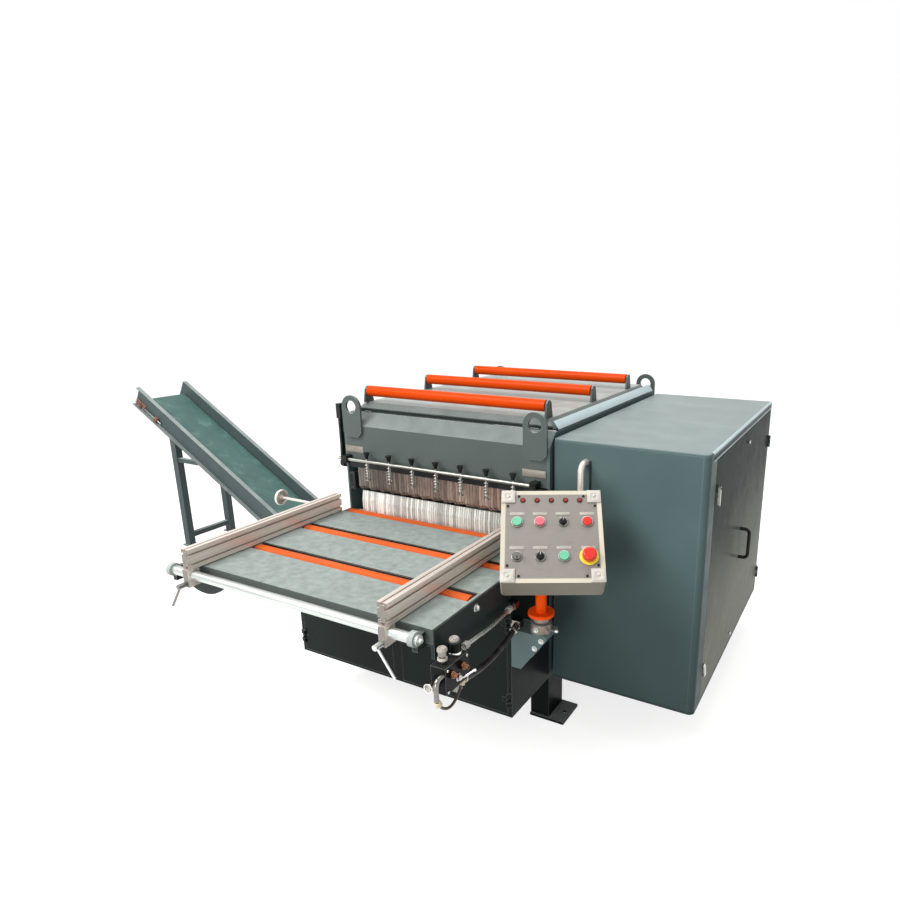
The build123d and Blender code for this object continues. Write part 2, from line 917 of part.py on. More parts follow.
def make_clamp_lever(x, side):
    y1 = bar_y + bar_r + clamp_wall
    y0 = bar_y - bar_r - clamp_wall
    screw_z = bar_z - clamp_screw_drop
    hub_y = y0 - play
    lever = rod_y(hub_y, y1, x, screw_z, clamp_screw_r)
    lever += rod_y(hub_y - lever_hub_length, hub_y, x, screw_z, lever_hub_r)
    reach = lever_rod_length + lever_hub_r
    rod = Pos(0, 0, -reach / 2) * Cylinder(lever_rod_r, reach)
    rod = fillet(rod.edges().sort_by(Axis.Z)[0], lever_tip_round)
    rod = Pos(x, hub_y - lever_rod_setback, screw_z) * Rot(0, -side * lever_tilt, 0) * rod
    return lever + rod


def make_hand_wheel():
    face = fence_left_x - fence_width / 2
    y = spindle_y
    z = fence_mid_z
    far = face - spindle_length
    near = far + wheel_width
    middle = far + wheel_width / 2
    wheel = rod_x(far, face - play, y, z, spindle_r)
    wheel += rod_x(far - wheel_hub_proud, near + wheel_hub_proud, y, z, wheel_hub_r)
    wheel += rod_x(middle - wheel_web / 2, middle + wheel_web / 2, y, z, wheel_r - wheel_rim / 2)
    rim = rod_x(far, near, y, z, wheel_r)
    rim -= rod_x(far - through, near + through, y, z, wheel_r - wheel_rim)
    outer = rim.edges().filter_by(GeomType.CIRCLE).sort_by(SortBy.RADIUS)[-2:]
    return wheel + fillet(outer, wheel_round)


# Upper kick-back fingers on a square bar that turns in the side walls, with its hand lever
def make_finger_lever():
    half = finger_bar / 2
    reach = inner_half - bar_end_gap
    y = finger_axis_y
    z = finger_axis_z
    shaft = block(-reach, reach, y - half, y + half, z - half, z + half)
    shaft += rod_x(reach, body_half, y, z, finger_journal_r)
    out = -body_half - lever_outset - lever_thick
    shaft += rod_x(out, -reach, y, z, finger_journal_r)
    grip_z = z + lever_height
    arm = [
        (y - lever_root_half, z),
        (y + lever_root_half, z),
        (y + lever_width / 2, z + lever_neck),
        (y + lever_width / 2, grip_z),
        (y - lever_width / 2, grip_z),
        (y - lever_width / 2, z + lever_neck),
    ]
    lever = slab_yz(arm, out, out + lever_thick)
    lever += rod_x(out, out + lever_thick + lever_boss, y, z, lever_hub)
    x0 = out - grip_wall
    x1 = out + lever_thick + grip_wall
    lever += block(x0, x1, y - grip_half, y + grip_half, grip_z - grip_length, grip_z)
    return shaft + lever


def make_upper_fingers():
    top = finger_axis_z - finger_bar / 2
    fingers = []
    for i in range(finger_count):
        x = (i - (finger_count - 1) / 2) * finger_pitch
        tip = finger_axis_z - finger_drop + tip_step * (5 * i % 4)
        back = tip_sway * (7 * i % 3)
        outline = [
            (finger_axis_y - finger_half, top),
            (finger_axis_y + finger_half, top),
            (finger_axis_y + finger_half, tip + finger_point),
            (finger_axis_y + finger_reach + back, tip),
            (finger_axis_y + back, tip + finger_point / 4),
            (finger_axis_y - finger_half, tip + finger_point),
        ]
        fingers.append(slab_yz(outline, x - finger_thick / 2, x + finger_thick / 2))
    return Compound(children=fingers)


def make_lower_fingers():
    half = lower_bar / 2
    reach = inner_half - bar_end_gap
    y = lower_axis_y
    z = lower_axis_z
    bar = block(-reach, reach, y - half, y + half, z - half, z + half)
    for side in (-1, 1):
        x0, x1 = sorted((side * reach, side * body_half))
        bar += rod_x(x0, x1, y, z, lower_journal_r)
    fingers = [bar]
    for i in range(lower_count):
        x = (i - (lower_count - 1) / 2) * lower_pitch
        outline = [
            (y - lower_half, z + half),
            (y + lower_half, z + half),
            (y + lower_half, z + lower_shoulder),
            (y, z + lower_rise),
            (y - lower_half, z + lower_shoulder),
        ]
        fingers.append(slab_yz(outline, x - lower_thick / 2, x + lower_thick / 2))
    return Compound(children=fingers)


# Spring rail over the throat: rods, collars, end blocks, caps and coil springs
def rod_places():
    return [(i - (rod_count - 1) / 2) * rod_pitch for i in range(rod_count)]


def make_spring_rail():
    rail = rod_x(rail_left, rail_right, rail_y, rail_z, rail_r)
    low = rail_z - rod_drop
    for x in rod_places():
        rail += rod_z(low, rail_z + cap_lift, x, rail_y, rod_r)
        rail += rod_z(low - rod_collar, low, x, rail_y, rod_collar_r)
    return rail


def make_rail_caps():
    pieces = []
    z0 = rail_z - rail_block_height / 2
    y0 = rail_y - rail_block / 2
    for x0 in (rail_left + rail_block_inset, rail_right - rail_block_inset):
        x1 = x0 + rail_block
        body = block(x0, x1, y0, body_front, z0, z0 + rail_block_height)
        pieces.append(body - rod_x(x0 - through, x1 + through, rail_y, rail_z, rail_r))
    low = rail_z + cap_lift
    for x in rod_places():
        cone = Pos(x, rail_y, low + cap_height / 2) * Cone(cap_low_r, cap_high_r, cap_height)
        pieces.append(cone)
    return Compound(children=pieces)


def biarc(p0, t0, p1, t1):
    """Two tangent arcs from p0 along t0 to p1 along t1."""
    chord = p1 - p0
    both = t0 + t1
    a = 2 * (t0.dot(t1) - 1)
    b = -2 * chord.dot(both)
    c = chord.dot(chord)
    reach = (-b - math.sqrt(b * b - 4 * a * c)) / (2 * a)
    q0 = p0 + t0 * reach
    q1 = p1 - t1 * reach
    joint = (q0 + q1) * 0.5
    return [TangentArc(p0, joint, tangent=t0), TangentArc(joint, p1, tangent=q1 - q0)]


def make_spring():
    low = rail_z - rod_drop + spring_wire_r + spring_seat
    high = rail_z - rail_r - spring_wire_r - spring_seat
    pitch = (high - low) / spring_turns
    slope = pitch / (2 * math.pi)

    def point(turn):
        a = 2 * math.pi * turn
        return Vector(spring_mean_r * math.cos(a), spring_mean_r * math.sin(a), low + pitch * turn)

    def heading(turn):
        a = 2 * math.pi * turn
        return Vector(-spring_mean_r * math.sin(a), spring_mean_r * math.cos(a), slope).normalized()

    edges = []
    end = 2 * spring_wire_r
    edges.append(Line(point(0) - heading(0) * end, point(0)))
    for half in range(2 * spring_turns):
        t0 = half / 2
        t1 = t0 + 0.5
        edges += biarc(point(t0), heading(t0), point(t1), heading(t1))
    last = float(spring_turns)
    edges.append(Line(point(last), point(last) + heading(last) * end))
    path = Wire(edges)
    section = Plane(origin=path @ 0, z_dir=path % 0) * RegularPolygon(spring_wire_r, 6)
    print("spring gap between curls", round(pitch - 2 * spring_wire_r, 2))
    return sweep(section, path=path)


def make_springs():
    coil = make_spring()
    return Compound(children=[Pos(x, rail_y, 0) * coil for x in rod_places()])


# Side cabinet with rounded edges, its lift-off front handle and its wide side door
def cabinet_form(inset):
    x0 = cabinet_left + inset
    x1 = cabinet_right - inset
    y0 = cabinet_front + inset
    y1 = cabinet_rear - inset
    form = block(x0, x1, y0, y1, base_height + inset, cabinet_top - inset)
    corner = form.edges().filter_by(Axis.Z).sort_by(lambda e: e.center().X - e.center().Y)[-1]
    form = fillet(corner, cabinet_corner - inset)
    rim = form.faces().sort_by(Axis.Z)[-1].edges()
    rim = [e for e in rim if e.center().X > x0 + through]
    return fillet(rim, cabinet_edge - inset)


def make_cabinet_shell():
    shell = cabinet_form(0) - cabinet_form(cabinet_sheet)
    g = side_door_gap
    y0 = side_door_front - g
    y1 = side_door_rear + g
    x0 = cabinet_right - 2 * cabinet_sheet
    x1 = cabinet_right + through
    shell -= block(x0, x1, y0, y1, side_door_low - g, side_door_high + g)
    x0 = cabinet_left - through
    shell -= rod_x(x0, cabinet_left + 2 * cabinet_sheet, arbor_y, arbor_z, arbor_opening_r)
    half = cabinet_pad / 2
    for y in (cabinet_front + cabinet_pad, cabinet_rear - cabinet_pad):
        for z in (base_height + cabinet_pad, shoulder_height - 2 * cabinet_pad):
            shell += block(body_half, cabinet_left, y - half, y + half, z - half, z + half)
    for z in side_hinge_zs:
        shell += Pos(cabinet_right, y1, z) * Rot(0, 0, 90) * hinge(True)[0]
    return Compound(children=cabinet_sheets(shell))


# The cabinet is welded up from sheets that meet at flat seams: roof, inner wall, corner, floor,
# front, back, and the four strips round the side door
def cabinet_sheets(shell):
    reach = cabinet_rear - cabinet_front
    x0, x1 = cabinet_left - reach, cabinet_right + reach
    y0, y1 = cabinet_front - reach, cabinet_rear + reach
    z0, z1 = base_height - reach, cabinet_top + reach
    corner_x = cabinet_right - cabinet_corner
    corner_y = cabinet_front + cabinet_corner
    zones = [block(x0, x1, y0, y1, cabinet_top - cabinet_edge, z1)]
    zones.append(block(x0, cabinet_left + cabinet_sheet, y0, y1, z0, z1))
    zones.append(block(corner_x, x1, y0, corner_y, z0, z1))
    zones.append(block(x0, x1, y0, y1, z0, base_height + cabinet_sheet))
    zones.append(block(x0, x1, y0, cabinet_front + cabinet_sheet, z0, z1))
    zones.append(block(x0, cabinet_right - cabinet_sheet, cabinet_rear - cabinet_sheet, y1, z0, z1))
    zones.append(block(x0, x1, y0, y1, side_door_high + side_door_gap, z1))
    zones.append(block(x0, x1, y0, y1, z0, side_door_low - side_door_gap))
    sheets = []
    rest = shell
    for zone in zones:
        sheets += (rest & zone).solids()
        rest = rest - zone
    return sheets + rest.solids()


def make_cabinet_door():
    x0 = cabinet_right - side_door_thick
    s = door_sheet
    low = side_door_low
    high = side_door_high
    door = block(x0, cabinet_right, side_door_front, side_door_rear, low, high)
    y0 = side_door_front + s
    door -= block(x0 - through, cabinet_right - s, y0, side_door_rear - s, low + s, high - s)
    door += rod_x(cabinet_right, cabinet_right + latch_boss, latch_y, latch_z, latch_boss_r)
    door += rod_x(cabinet_right, cabinet_right + latch_pin_length, latch_y, latch_z, latch_pin_r)
    y1 = side_door_rear + side_door_gap
    for z in side_hinge_zs:
        door += Pos(cabinet_right, y1, z) * Rot(0, 0, 90) * hinge(True)[1]
    return door


def make_door_latch():
    x0 = cabinet_right + latch_boss + play
    x1 = x0 + latch_thick
    half = latch_width / 2
    low = latch_z - latch_length + half
    latch = block(x0, x1, latch_y - half, latch_y + half, low, latch_z)
    latch += rod_x(x0, x1, latch_y, latch_z, half)
    latch += rod_x(x0, x1, latch_y, low, half)
    return latch - rod_x(x0 - through, x1 + through, latch_y, latch_z, latch_pin_r + running_fit)


def make_door_handle():
    x0 = cabinet_right
    x1 = x0 + pull_stand
    low = pull_mid_z - pull_half
    high = pull_mid_z + pull_half
    points = [(x0, pull_y, low), (x1, pull_y, low), (x1, pull_y, high), (x0, pull_y, high)]
    return bow(points, pull_r, pull_bend)


def make_bow_handle():
    y0 = cabinet_front
    y1 = y0 - bow_stand
    points = [(bow_x, y0, bow_low), (bow_x, y1, bow_low), (bow_x, y1, bow_high), (bow_x, y0, bow_high)]
    return bow(points, bow_r, bow_bend)


# Saw arbor with its drive pulley and the fixed blade; the other blade slides along the arbor
def pulley_profile(x0, r):
    width = pulley_pitch * pulley_grooves
    points = [(x0, 0), (x0, r)]
    for i in range(pulley_grooves):
        mid = x0 + pulley_pitch * (i + 0.5)
        points += [(mid - groove_top_half, r), (mid - groove_root_half, r - pulley_groove)]
        points += [(mid + groove_root_half, r - pulley_groove), (mid + groove_top_half, r)]
    points += [(x0 + width, r), (x0 + width, 0)]
    return points


def turned(points, y, z):
    outline = Polyline(*[(x, y, z + r) for x, r in points], close=True)
    return revolve(make_face(outline), Axis((0, y, z), (1, 0, 0)))


def make_blade(x):
    outline = []
    for i in range(blade_teeth):
        a = 2 * math.pi * i / blade_teeth
        step = 2 * math.pi / blade_teeth
        for share, r in ((0.0, blade_r), (0.35, blade_r - blade_bevel), (0.55, blade_r - blade_tooth)):
            outline.append((r * math.cos(a + share * step), r * math.sin(a + share * step)))
    points = [(arbor_y + u, arbor_z + v) for u, v in outline]
    return slab_yz(points, x - blade_thick / 2, x + blade_thick / 2)


def pulley_x():
    return cabinet_left + pulley_gap


def make_saw_arbor():
    right = pulley_x() + pulley_pitch * pulley_grooves
    shaft = rod_x(arbor_left, right + shaft_end, arbor_y, arbor_z, arbor_r)
    shaft += turned(pulley_profile(pulley_x(), pulley_r), arbor_y, arbor_z)
    collar = blade_fixed_x - blade_thick / 2
    shaft += rod_x(collar - collar_length, collar, arbor_y, arbor_z, hub_r)
    x0 = blade_fixed_x - blade_thick
    x1 = blade_fixed_x + blade_thick
    blade = make_blade(blade_fixed_x) - rod_x(x0, x1, arbor_y, arbor_z, arbor_r)
    return Compound(children=[shaft, blade])


def make_moving_blade():
    x1 = blade_moving_x - blade_thick / 2
    x0 = x1 - hub_length
    mid = (x0 + x1) / 2
    groove = hub_groove / 2
    profile = [
        (x0, arbor_r + running_fit),
        (x0, hub_r),
        (mid - groove, hub_r),
        (mid - groove, hub_r - hub_groove_depth),
        (mid + groove, hub_r - hub_groove_depth),
        (mid + groove, hub_r),
        (x1, hub_r),
        (x1 + blade_thick, hub_r),
        (x1 + blade_thick, arbor_r + running_fit),
    ]
    hub = turned(profile, arbor_y, arbor_z)
    far = blade_moving_x + blade_thick
    bore = rod_x(blade_moving_x - blade_thick, far, arbor_y, arbor_z, hub_r)
    return hub + (make_blade(blade_moving_x) - bore)


def make_arbor_housing():
    top = beam_low + beam_size
    reach = beam_spread + beam_size / 2
    pieces = []
    for x in (bearing_left_x, bearing_right_x):
        x0 = x - bearing_width / 2
        x1 = x + bearing_width / 2
        low = top + bearing_base
        post = block(x0, x1, arbor_y - reach, arbor_y + reach, top, low)
        post += block(x0, x1, arbor_y - bearing_half, arbor_y + bearing_half, low, arbor_z)
        post += rod_x(x0, x1, arbor_y, arbor_z, bearing_half)
        pieces.append(post - rod_x(x0 - through, x1 + through, arbor_y, arbor_z, arbor_r + running_fit))
    x1 = -inner_half + cylinder_length
    tube = rod_x(-inner_half, x1, fork_y, fork_z, cylinder_r)
    tube -= rod_x(-inner_half + cylinder_end, x1 + through, fork_y, fork_z, fork_rod_r + running_fit)
    pieces.append(tube)
    return Compound(children=pieces)


def make_shift_fork():
    mid = blade_moving_x - blade_thick / 2 - hub_length / 2
    half = hub_groove / 2 - fork_play
    rod = rod_x(mid - rod_reach, mid + half, fork_y, fork_z, fork_rod_r)
    inner = hub_r - hub_groove_depth + fork_play
    arm = [
        (fork_y + fork_eye, fork_z - fork_eye),
        (fork_y + fork_eye, fork_z + fork_eye),
        (arbor_y + fork_throat, arbor_z + fork_tine),
        (arbor_y - fork_mouth, arbor_z + fork_tine),
        (arbor_y - fork_mouth, arbor_z - fork_tine),
        (arbor_y + fork_throat, arbor_z - fork_tine),
    ]
    fork = slab_yz(arm, mid - half, mid + half)
    fork -= rod_x(mid - half - through, mid + half + through, arbor_y, arbor_z, inner)
    return fork + rod


def make_motor():
    z = arbor_z - motor_drop
    x0 = pulley_x() + pulley_pitch * pulley_grooves + motor_gap
    x1 = x0 + motor_length
    body0 = x0 + motor_nose
    body1 = x1 - motor_tail
    motor = rod_x(body0, body1, arbor_y, z, motor_r) + rod_x(x0, x1, arbor_y, z, motor_r - motor_end_step)
    fin_low = motor_r - fin_half
    fin = block(body0 + motor_nose, body1 - motor_nose, -fin_half, fin_half, fin_low, fin_low + fin_height)
    for i in range(fin_count):
        motor += Pos(0, arbor_y, z) * Rot(360 / fin_count * i, 0, 0) * fin
    low = base_height + cabinet_sheet
    half = motor_foot_length / 2
    rib = motor_rib / 2
    foot = motor_foot_half
    for x in (body0 + motor_foot_length, body1 - motor_foot_length):
        motor += block(x - half, x + half, arbor_y - foot, arbor_y + foot, low, low + motor_foot_thick)
        motor += block(x - rib, x + rib, arbor_y - motor_rib_half, arbor_y + motor_rib_half, low, z)
    middle = (body0 + body1) / 2
    roof = z + motor_r
    box = Box(2 * terminal_half, 2 * terminal_half, fin_height + terminal_rise)
    motor += Pos(middle, arbor_y, roof + (terminal_rise - fin_height) / 2) * box
    return motor - rod_x(x0 - through, x0 + shaft_depth + through, arbor_y, z, motor_shaft_r + running_fit)


def make_motor_pulley():
    z = arbor_z - motor_drop
    x0 = pulley_x()
    x1 = x0 + pulley_pitch * pulley_grooves + motor_gap + shaft_depth
    shaft = rod_x(x0, x1, arbor_y, z, motor_shaft_r)
    return shaft + turned(pulley_profile(x0, pulley_r), arbor_y, z)


def make_drive_belts():
    low = arbor_z - motor_drop
    inner = pulley_r - pulley_groove + belt_play
    belts = []
    for i in range(pulley_grooves):
        mid = pulley_x() + pulley_pitch * (i + 0.5)
        loop = belt_loop(mid - belt_half, mid + belt_half, inner + belt_height, low)
        far = belt_half + through
        belts.append(loop - belt_loop(mid - far, mid + far, inner, low))
    return Compound(children=belts)


def belt_loop(x0, x1, r, low):
    loop = rod_x(x0, x1, arbor_y, arbor_z, r) + rod_x(x0, x1, arbor_y, low, r)
    return loop + block(x0, x1, arbor_y - r, arbor_y + r, low, arbor_z)


# Control box: a deep tray on its post, its face plate, and the controls seated in the face
yaw = math.radians(panel_yaw)
tilt = math.radians(panel_tilt)
panel_across = (math.cos(yaw), math.sin(yaw), 0)
panel_normal = (
    math.sin(yaw) * math.cos(tilt),
    -math.cos(yaw) * math.cos(tilt),
    math.sin(tilt),
)
panel_plane = Plane(origin=panel_centre, x_dir=panel_across, z_dir=panel_normal)


def on_panel(shape):
    return panel_plane.location * shape


def panel_body(inset):
    size = panel_size - 2 * inset
    body = Pos(0, 0, -panel_depth / 2) * Box(size, size, panel_depth - 2 * inset)
    return fillet(body.edges().filter_by(Axis.Z), panel_corner - inset)


def make_control_box():
    box = panel_body(0) - panel_body(panel_sheet)
    mouth = panel_size - 2 * face_margin
    return on_panel(box - Box(mouth, mouth, 2 * face_thick))


def control_places():
    rows = (control_row_high, control_row_low)
    return [(u, v) for v in rows for u in control_columns]


def make_control_face():
    mouth = panel_size - 2 * face_margin
    plate = Pos(0, 0, -face_thick / 2) * Box(mouth, mouth, face_thick)
    for u, v in control_places():
        plate -= Pos(u, v, 0) * Cylinder(button_hole_r, 3 * face_thick)
    return on_panel(plate)


def make_panel_post():
    post = rod_z(post_low, panel_centre[2], post_x, post_y, post_r)
    post += rod_z(flange_z, flange_z + flange_thick, post_x, post_y, flange_r)
    ahead = Pos(0, 0, panel_size / 2) * Box(2 * panel_size, 2 * panel_size, panel_size)
    return post - on_panel(panel_body(0)) - on_panel(ahead)


def make_lamps():
    lamps = []
    for i in range(lamp_count):
        u = (i - (lamp_count - 1) / 2) * lamp_pitch
        lamps.append(on_panel(Pos(u, lamp_row, lamp_height / 2) * Cylinder(lamp_r, lamp_height)))
    return Compound(children=lamps)


def make_button(u, v):
    head = Pos(0, 0, (button_seat + button_height) / 2) * Cylinder(button_r, button_height - button_seat)
    head = fillet(head.edges().sort_by(Axis.Z)[-1], button_round)
    return on_panel(Pos(u, v, 0) * (control_stem(button_stem_r, button_seat) + head))


def control_stem(r, height):
    """Round stem through the face plate, standing proud of it by the height."""
    return Pos(0, 0, (height - control_depth) / 2) * Cylinder(r, height + control_depth)


def make_selector(u, v):
    base = control_stem(selector_r, selector_base)
    grip = Box(selector_grip_width, 2 * selector_r - 2 * button_round, selector_grip)
    return on_panel(Pos(u, v, 0) * (base + Pos(0, 0, selector_base + selector_grip / 2) * grip))


def make_key_switch(u, v):
    base = control_stem(selector_r, key_base)
    blade = Pos(0, 0, key_base + key_blade / 2) * Box(key_thick, key_blade_width, key_blade)
    head = Pos(0, 0, key_base + key_blade) * Rot(0, 90, 0) * Cylinder(key_bow_r, key_thick)
    return on_panel(Pos(u, v, 0) * (base + blade + head))


def make_emergency_stop(u, v):
    neck = control_stem(knob_neck_r, knob_neck)
    head = Pos(0, 0, knob_neck + knob_height / 2) * Cylinder(knob_r, knob_height)
    head = fillet(head.edges().sort_by(Axis.Z)[-1], knob_round)
    return on_panel(Pos(u, v, 0) * (neck + head))


def make_panel_bracket():
    low = post_low - bracket_height
    shelf = post_low - play
    under = shelf - bracket_shelf
    y0 = post_y - bracket_ahead
    y1 = post_y + bracket_behind
    x1 = post_x + sleeve_r
    back = body_half + bracket_plate
    plate = block(body_half, back, y0, y1, low, shelf) + block(body_half, x1, y0, y1, under, shelf)
    gusset = [(body_half, low), (body_half + bracket_toe, low), (x1, under), (body_half, under)]
    for y in (y0, y1 - bracket_plate):
        plate += slab_xz(gusset, y, y + bracket_plate)
    plate += rod_z(shelf, sleeve_top, post_x, post_y, sleeve_r)
    for z in (low + bracket_height / 4, low + bracket_height * 2 / 3):
        plate += rod_x(back, back + bracket_bolt_head, (y0 + y1) / 2, z, bracket_bolt_r)
    return plate - rod_z(shelf, sleeve_top + through, post_x, post_y, post_r + running_fit)


# Valve unit on the right apron with its fittings, gauge and three hoses
def valve_core():
    return block(valve_x0, valve_x1, valve_front, valve_rear, valve_low, valve_high)


def make_valve_block():
    body = valve_core()
    y0 = table_front + valve_arm_margin
    arm_low = valve_high - valve_arm_lap
    body += block(body_half, valve_x0, y0, y0 + valve_arm, arm_low, valve_high)
    body += rod_z(valve_high, valve_high + bowl_height, valve_mid, valve_rear - bowl_inset, bowl_r)
    return body


def make_valve_fittings():
    y = valve_front + tap_inset
    tap = rod_z(valve_high, valve_high + tap_stem, valve_mid, y, tap_stem_r)
    tap += rod_z(valve_high + tap_stem, valve_high + tap_stem + tap_knob, valve_mid, y, tap_knob_r)
    pieces = [tap]
    x = valve_x0 + gauge_inset
    z = valve_low + gauge_rise
    gauge = rod_y(valve_front - gauge_stem, valve_front, x, z, gauge_stem_r)
    gauge += rod_y(valve_front - gauge_stem - gauge_depth, valve_front - gauge_stem, x, z, gauge_r)
    pieces.append(gauge)
    thin = hose_thin_route()
    port = rod_y(valve_rear, valve_rear + port_length, thin[0].X, thin[0].Z, port_r)
    pieces.append(port + nipple(thin[1], thin[0], hose_nipple, hose_thin_r))
    thick = hose_thick_route()
    half = thick_port_half
    x0 = thick[0].X - half
    low = thick[0].Z - half
    port = block(x0, x0 + 2 * half, valve_rear - 2 * half, valve_rear, low, valve_low)
    pieces.append(port + nipple(thick[1], thick[0], hose_nipple, hose_thick_r))
    for route, r in ((thin, hose_thin_r), (thick, hose_thick_r)):
        pieces.append(make_wall_elbow(route, r))
    loop = hose_loop_route()
    pieces.append(nipple(loop[-2], loop[-1], loop_nipple, hose_loop_r) - valve_core())
    pieces.append(make_elbow_pipe(loop))
    return Compound(children=pieces)


def make_wall_elbow(route, r):
    end = route[-1] + (route[-1] - route[-2]).normalized() * hose_nipple
    half = r + elbow_wall
    y0 = end.Y - elbow_ahead
    body = block(body_half, end.X + half, y0, y0 + elbow_ahead + elbow_behind, end.Z - half, end.Z + half)
    return body + nipple(route[-2], route[-1], hose_nipple, r)


def make_elbow_pipe(loop):
    start = loop[0] - (loop[1] - loop[0]).normalized() * loop_nipple
    high = valve_low + elbow_pipe_rise
    points = [(start.X, valve_front, high), (start.X, start.Y, high), (start.X, start.Y, start.Z)]
    return bow(points, elbow_pipe_r, elbow_pipe_bend) + nipple(loop[1], loop[0], loop_nipple, hose_loop_r)


def nipple(before, at, length, r):
    """Short stub that carries on from the hose end at the second point."""
    along = (at - before).normalized()
    return Plane(origin=at + along * (length / 2), z_dir=along) * Cylinder(r + nipple_wall, length)


def steps(start, headings, lengths):
    points = [start]
    for heading, length in zip(headings, lengths):
        points.append(points[-1] + Vector(*heading).normalized() * length)
    return points


def hose_thin_route():
    y = valve_rear + port_length + hose_nipple - through
    start = Vector(valve_x0 + thin_port_x, y, valve_low + thin_port_z)
    headings = [(0, 1, -0.03), (0.01, 1, -0.07), (-0.01, 1, 0.03), (-0.02, 1, 0.05)]
    return steps(start, headings, hose_thin_runs)


def hose_thick_route():
    y = valve_rear + hose_nipple - through
    start = Vector(valve_x0 + thick_port_x, y, valve_low - thick_port_drop)
    headings = [(0, 1, -0.24), (-0.02, 1, -0.12), (-0.02, 1, 0.02), (-0.02, 1, 0.17), (-0.02, 1, 0.34)]
    return steps(start, headings, hose_thick_runs)


def hose_loop_route():
    start = Vector(valve_x0 + elbow_pipe_inset, valve_front - loop_ahead, valve_low - loop_drop)
    headings = [(0, 0.5, -0.866), (0, 0.9, -0.436), (-0.03, 0.9, 0.436), (0, 0.5, 0.866)]
    return steps(start, headings, hose_loop_runs)


def make_hose(route, r, name):
    radii = []
    for a, b, c in zip(route, route[1:], route[2:]):
        turn = (b - a).get_angle(c - b)
        short = min((b - a).length, (c - b).length)
        radii.append(0.45 * short / math.tan(math.radians(turn) / 2))
    path = FilletPolyline(*route, radius=radii)
    start = Plane(origin=path @ 0, z_dir=path % 0)
    hose = sweep(start * Circle(r), path=path)
    share = hose.volume / (math.pi * r * r * path.length)
    print(name, "bend radii", [round(v) for v in radii])
    print(name, "length", round(path.length), "volume share", round(share, 4))
    return hose


# Waste conveyor: a level run under the saw, a rising run to the left, two channels, belt and drums
rise = math.tan(math.radians(conveyor_angle))
lean = math.cos(math.radians(conveyor_angle))


def conveyor_line(lift):
    """The three corners of a line parallel to the conveyor's bottom edge, lifted square to it."""
    shift = lift * math.tan(math.radians(conveyor_angle) / 2)
    knee = conveyor_knee + shift
    end_x = conveyor_head + lift * math.sin(math.radians(conveyor_angle))
    end_z = conveyor_low + (conveyor_knee - conveyor_head) * rise + lift * lean
    return [(conveyor_tail, conveyor_low + lift), (knee, conveyor_low + lift), (end_x, end_z)]


def conveyor_slab(low, high, y0, y1):
    return slab_xz(conveyor_line(low) + conveyor_line(high)[::-1], y0, y1)


def drum_places():
    lift = drum_r + belt_thick
    tail, knee, head = conveyor_line(lift)
    tail = (tail[0] - drum_inset, tail[1])
    head = (head[0] + drum_inset * lean, head[1] - drum_inset * lean * rise)
    return tail, knee, head


def belt_form(r, y0, y1):
    tail, knee, head = drum_places()
    lift = drum_r + belt_thick
    lean_x = math.sin(math.radians(conveyor_angle))
    upper = conveyor_line(lift + r)[1]
    lower = conveyor_line(lift - r)[1]
    outline = [
        (tail[0], tail[1] + r),
        upper,
        (head[0] + r * lean_x, head[1] + r * lean),
        (head[0] - r * lean_x, head[1] - r * lean),
        lower,
        (tail[0], tail[1] - r),
    ]
    form = slab_xz(outline, y0, y1)
    for x, z in (tail, head):
        form += rod_y(y0, y1, x, z, r)
    return form


def make_conveyor_side(outer, side):
    """One channel with its leg, foot, brace and floor feet; side is +1 where the web lies toward +Y."""
    t = channel_web
    inner = outer + side * channel_flange
    y0, y1 = sorted((outer, inner))
    channel = conveyor_slab(0, conveyor_height, y0, y1)
    c0, c1 = sorted((outer - side * through, inner - side * t))
    channel -= conveyor_slab(t, conveyor_height - t, c0, c1)
    tail, knee, head = drum_places()
    for x, z in (tail, head):
        channel -= rod_y(y0 - through, y1 + through, x, z, drum_shaft_r + running_fit)
    s0, s1 = sorted((outer, outer + side * stand_tube))
    below = conveyor_slab(0, 3 * conveyor_height, s0 - through, s1 + through)
    leg_x = stand_x - stand_tube / 2
    leg = block(leg_x, leg_x + stand_tube, s0, s1, stand_foot, head[1]) - below
    channel += leg.solids().sort_by(Axis.Z)[0]
    f0 = leg_x - stand_foot_margin
    f1 = leg_x + stand_tube + stand_foot_margin
    channel += block(f0, f1, s0 - stand_foot, s1 + stand_foot, 0, stand_foot)
    b0 = leg_x + stand_tube
    margin = (stand_tube - brace_size) / 2
    brace = block(b0, b0 + brace_reach, s0 + margin, s1 - margin, brace_z, brace_z + brace_size) - below
    channel += brace.solids().sort_by(Axis.X)[0]
    half = conveyor_foot_half
    for run in conveyor_feet:
        x = conveyor_knee + run
        channel += block(x - half, x + half, y0, y1, 0, conveyor_low)
    hanger = conveyor_low + conveyor_height
    return channel + block(-body_half, -inner_half, y0, y1, hanger, base_height)


def make_conveyor_frame():
    pieces = [make_conveyor_side(conveyor_near, 1), make_conveyor_side(conveyor_far, -1)]
    tie0 = conveyor_near + stand_tube
    tie1 = conveyor_far - stand_tube
    tie = Box(2 * tie_half, tie1 - tie0, 2 * tie_half)
    pieces.append(Pos(stand_x, (tie0 + tie1) / 2, tie_z) * tie)
    web0 = conveyor_near + channel_flange
    web1 = conveyor_far - channel_flange
    lift = drum_r + belt_thick
    for share in bed_shares:
        x = conveyor_knee + (conveyor_head - conveyor_knee) * share
        z = conveyor_low + (conveyor_knee - x) * rise
        bed = block(-bed_half, bed_half, web0, web1, lift - bed_thick, lift + bed_thick)
        pieces.append(Pos(x, 0, z) * Rot(0, conveyor_angle, 0) * bed)
    return Compound(children=pieces)


def make_conveyor_belt():
    y0 = conveyor_near + channel_flange + belt_edge_gap
    y1 = conveyor_far - channel_flange - belt_edge_gap
    inner = belt_form(drum_r + play, y0 - through, y1 + through)
    return belt_form(drum_r + belt_thick, y0, y1) - inner


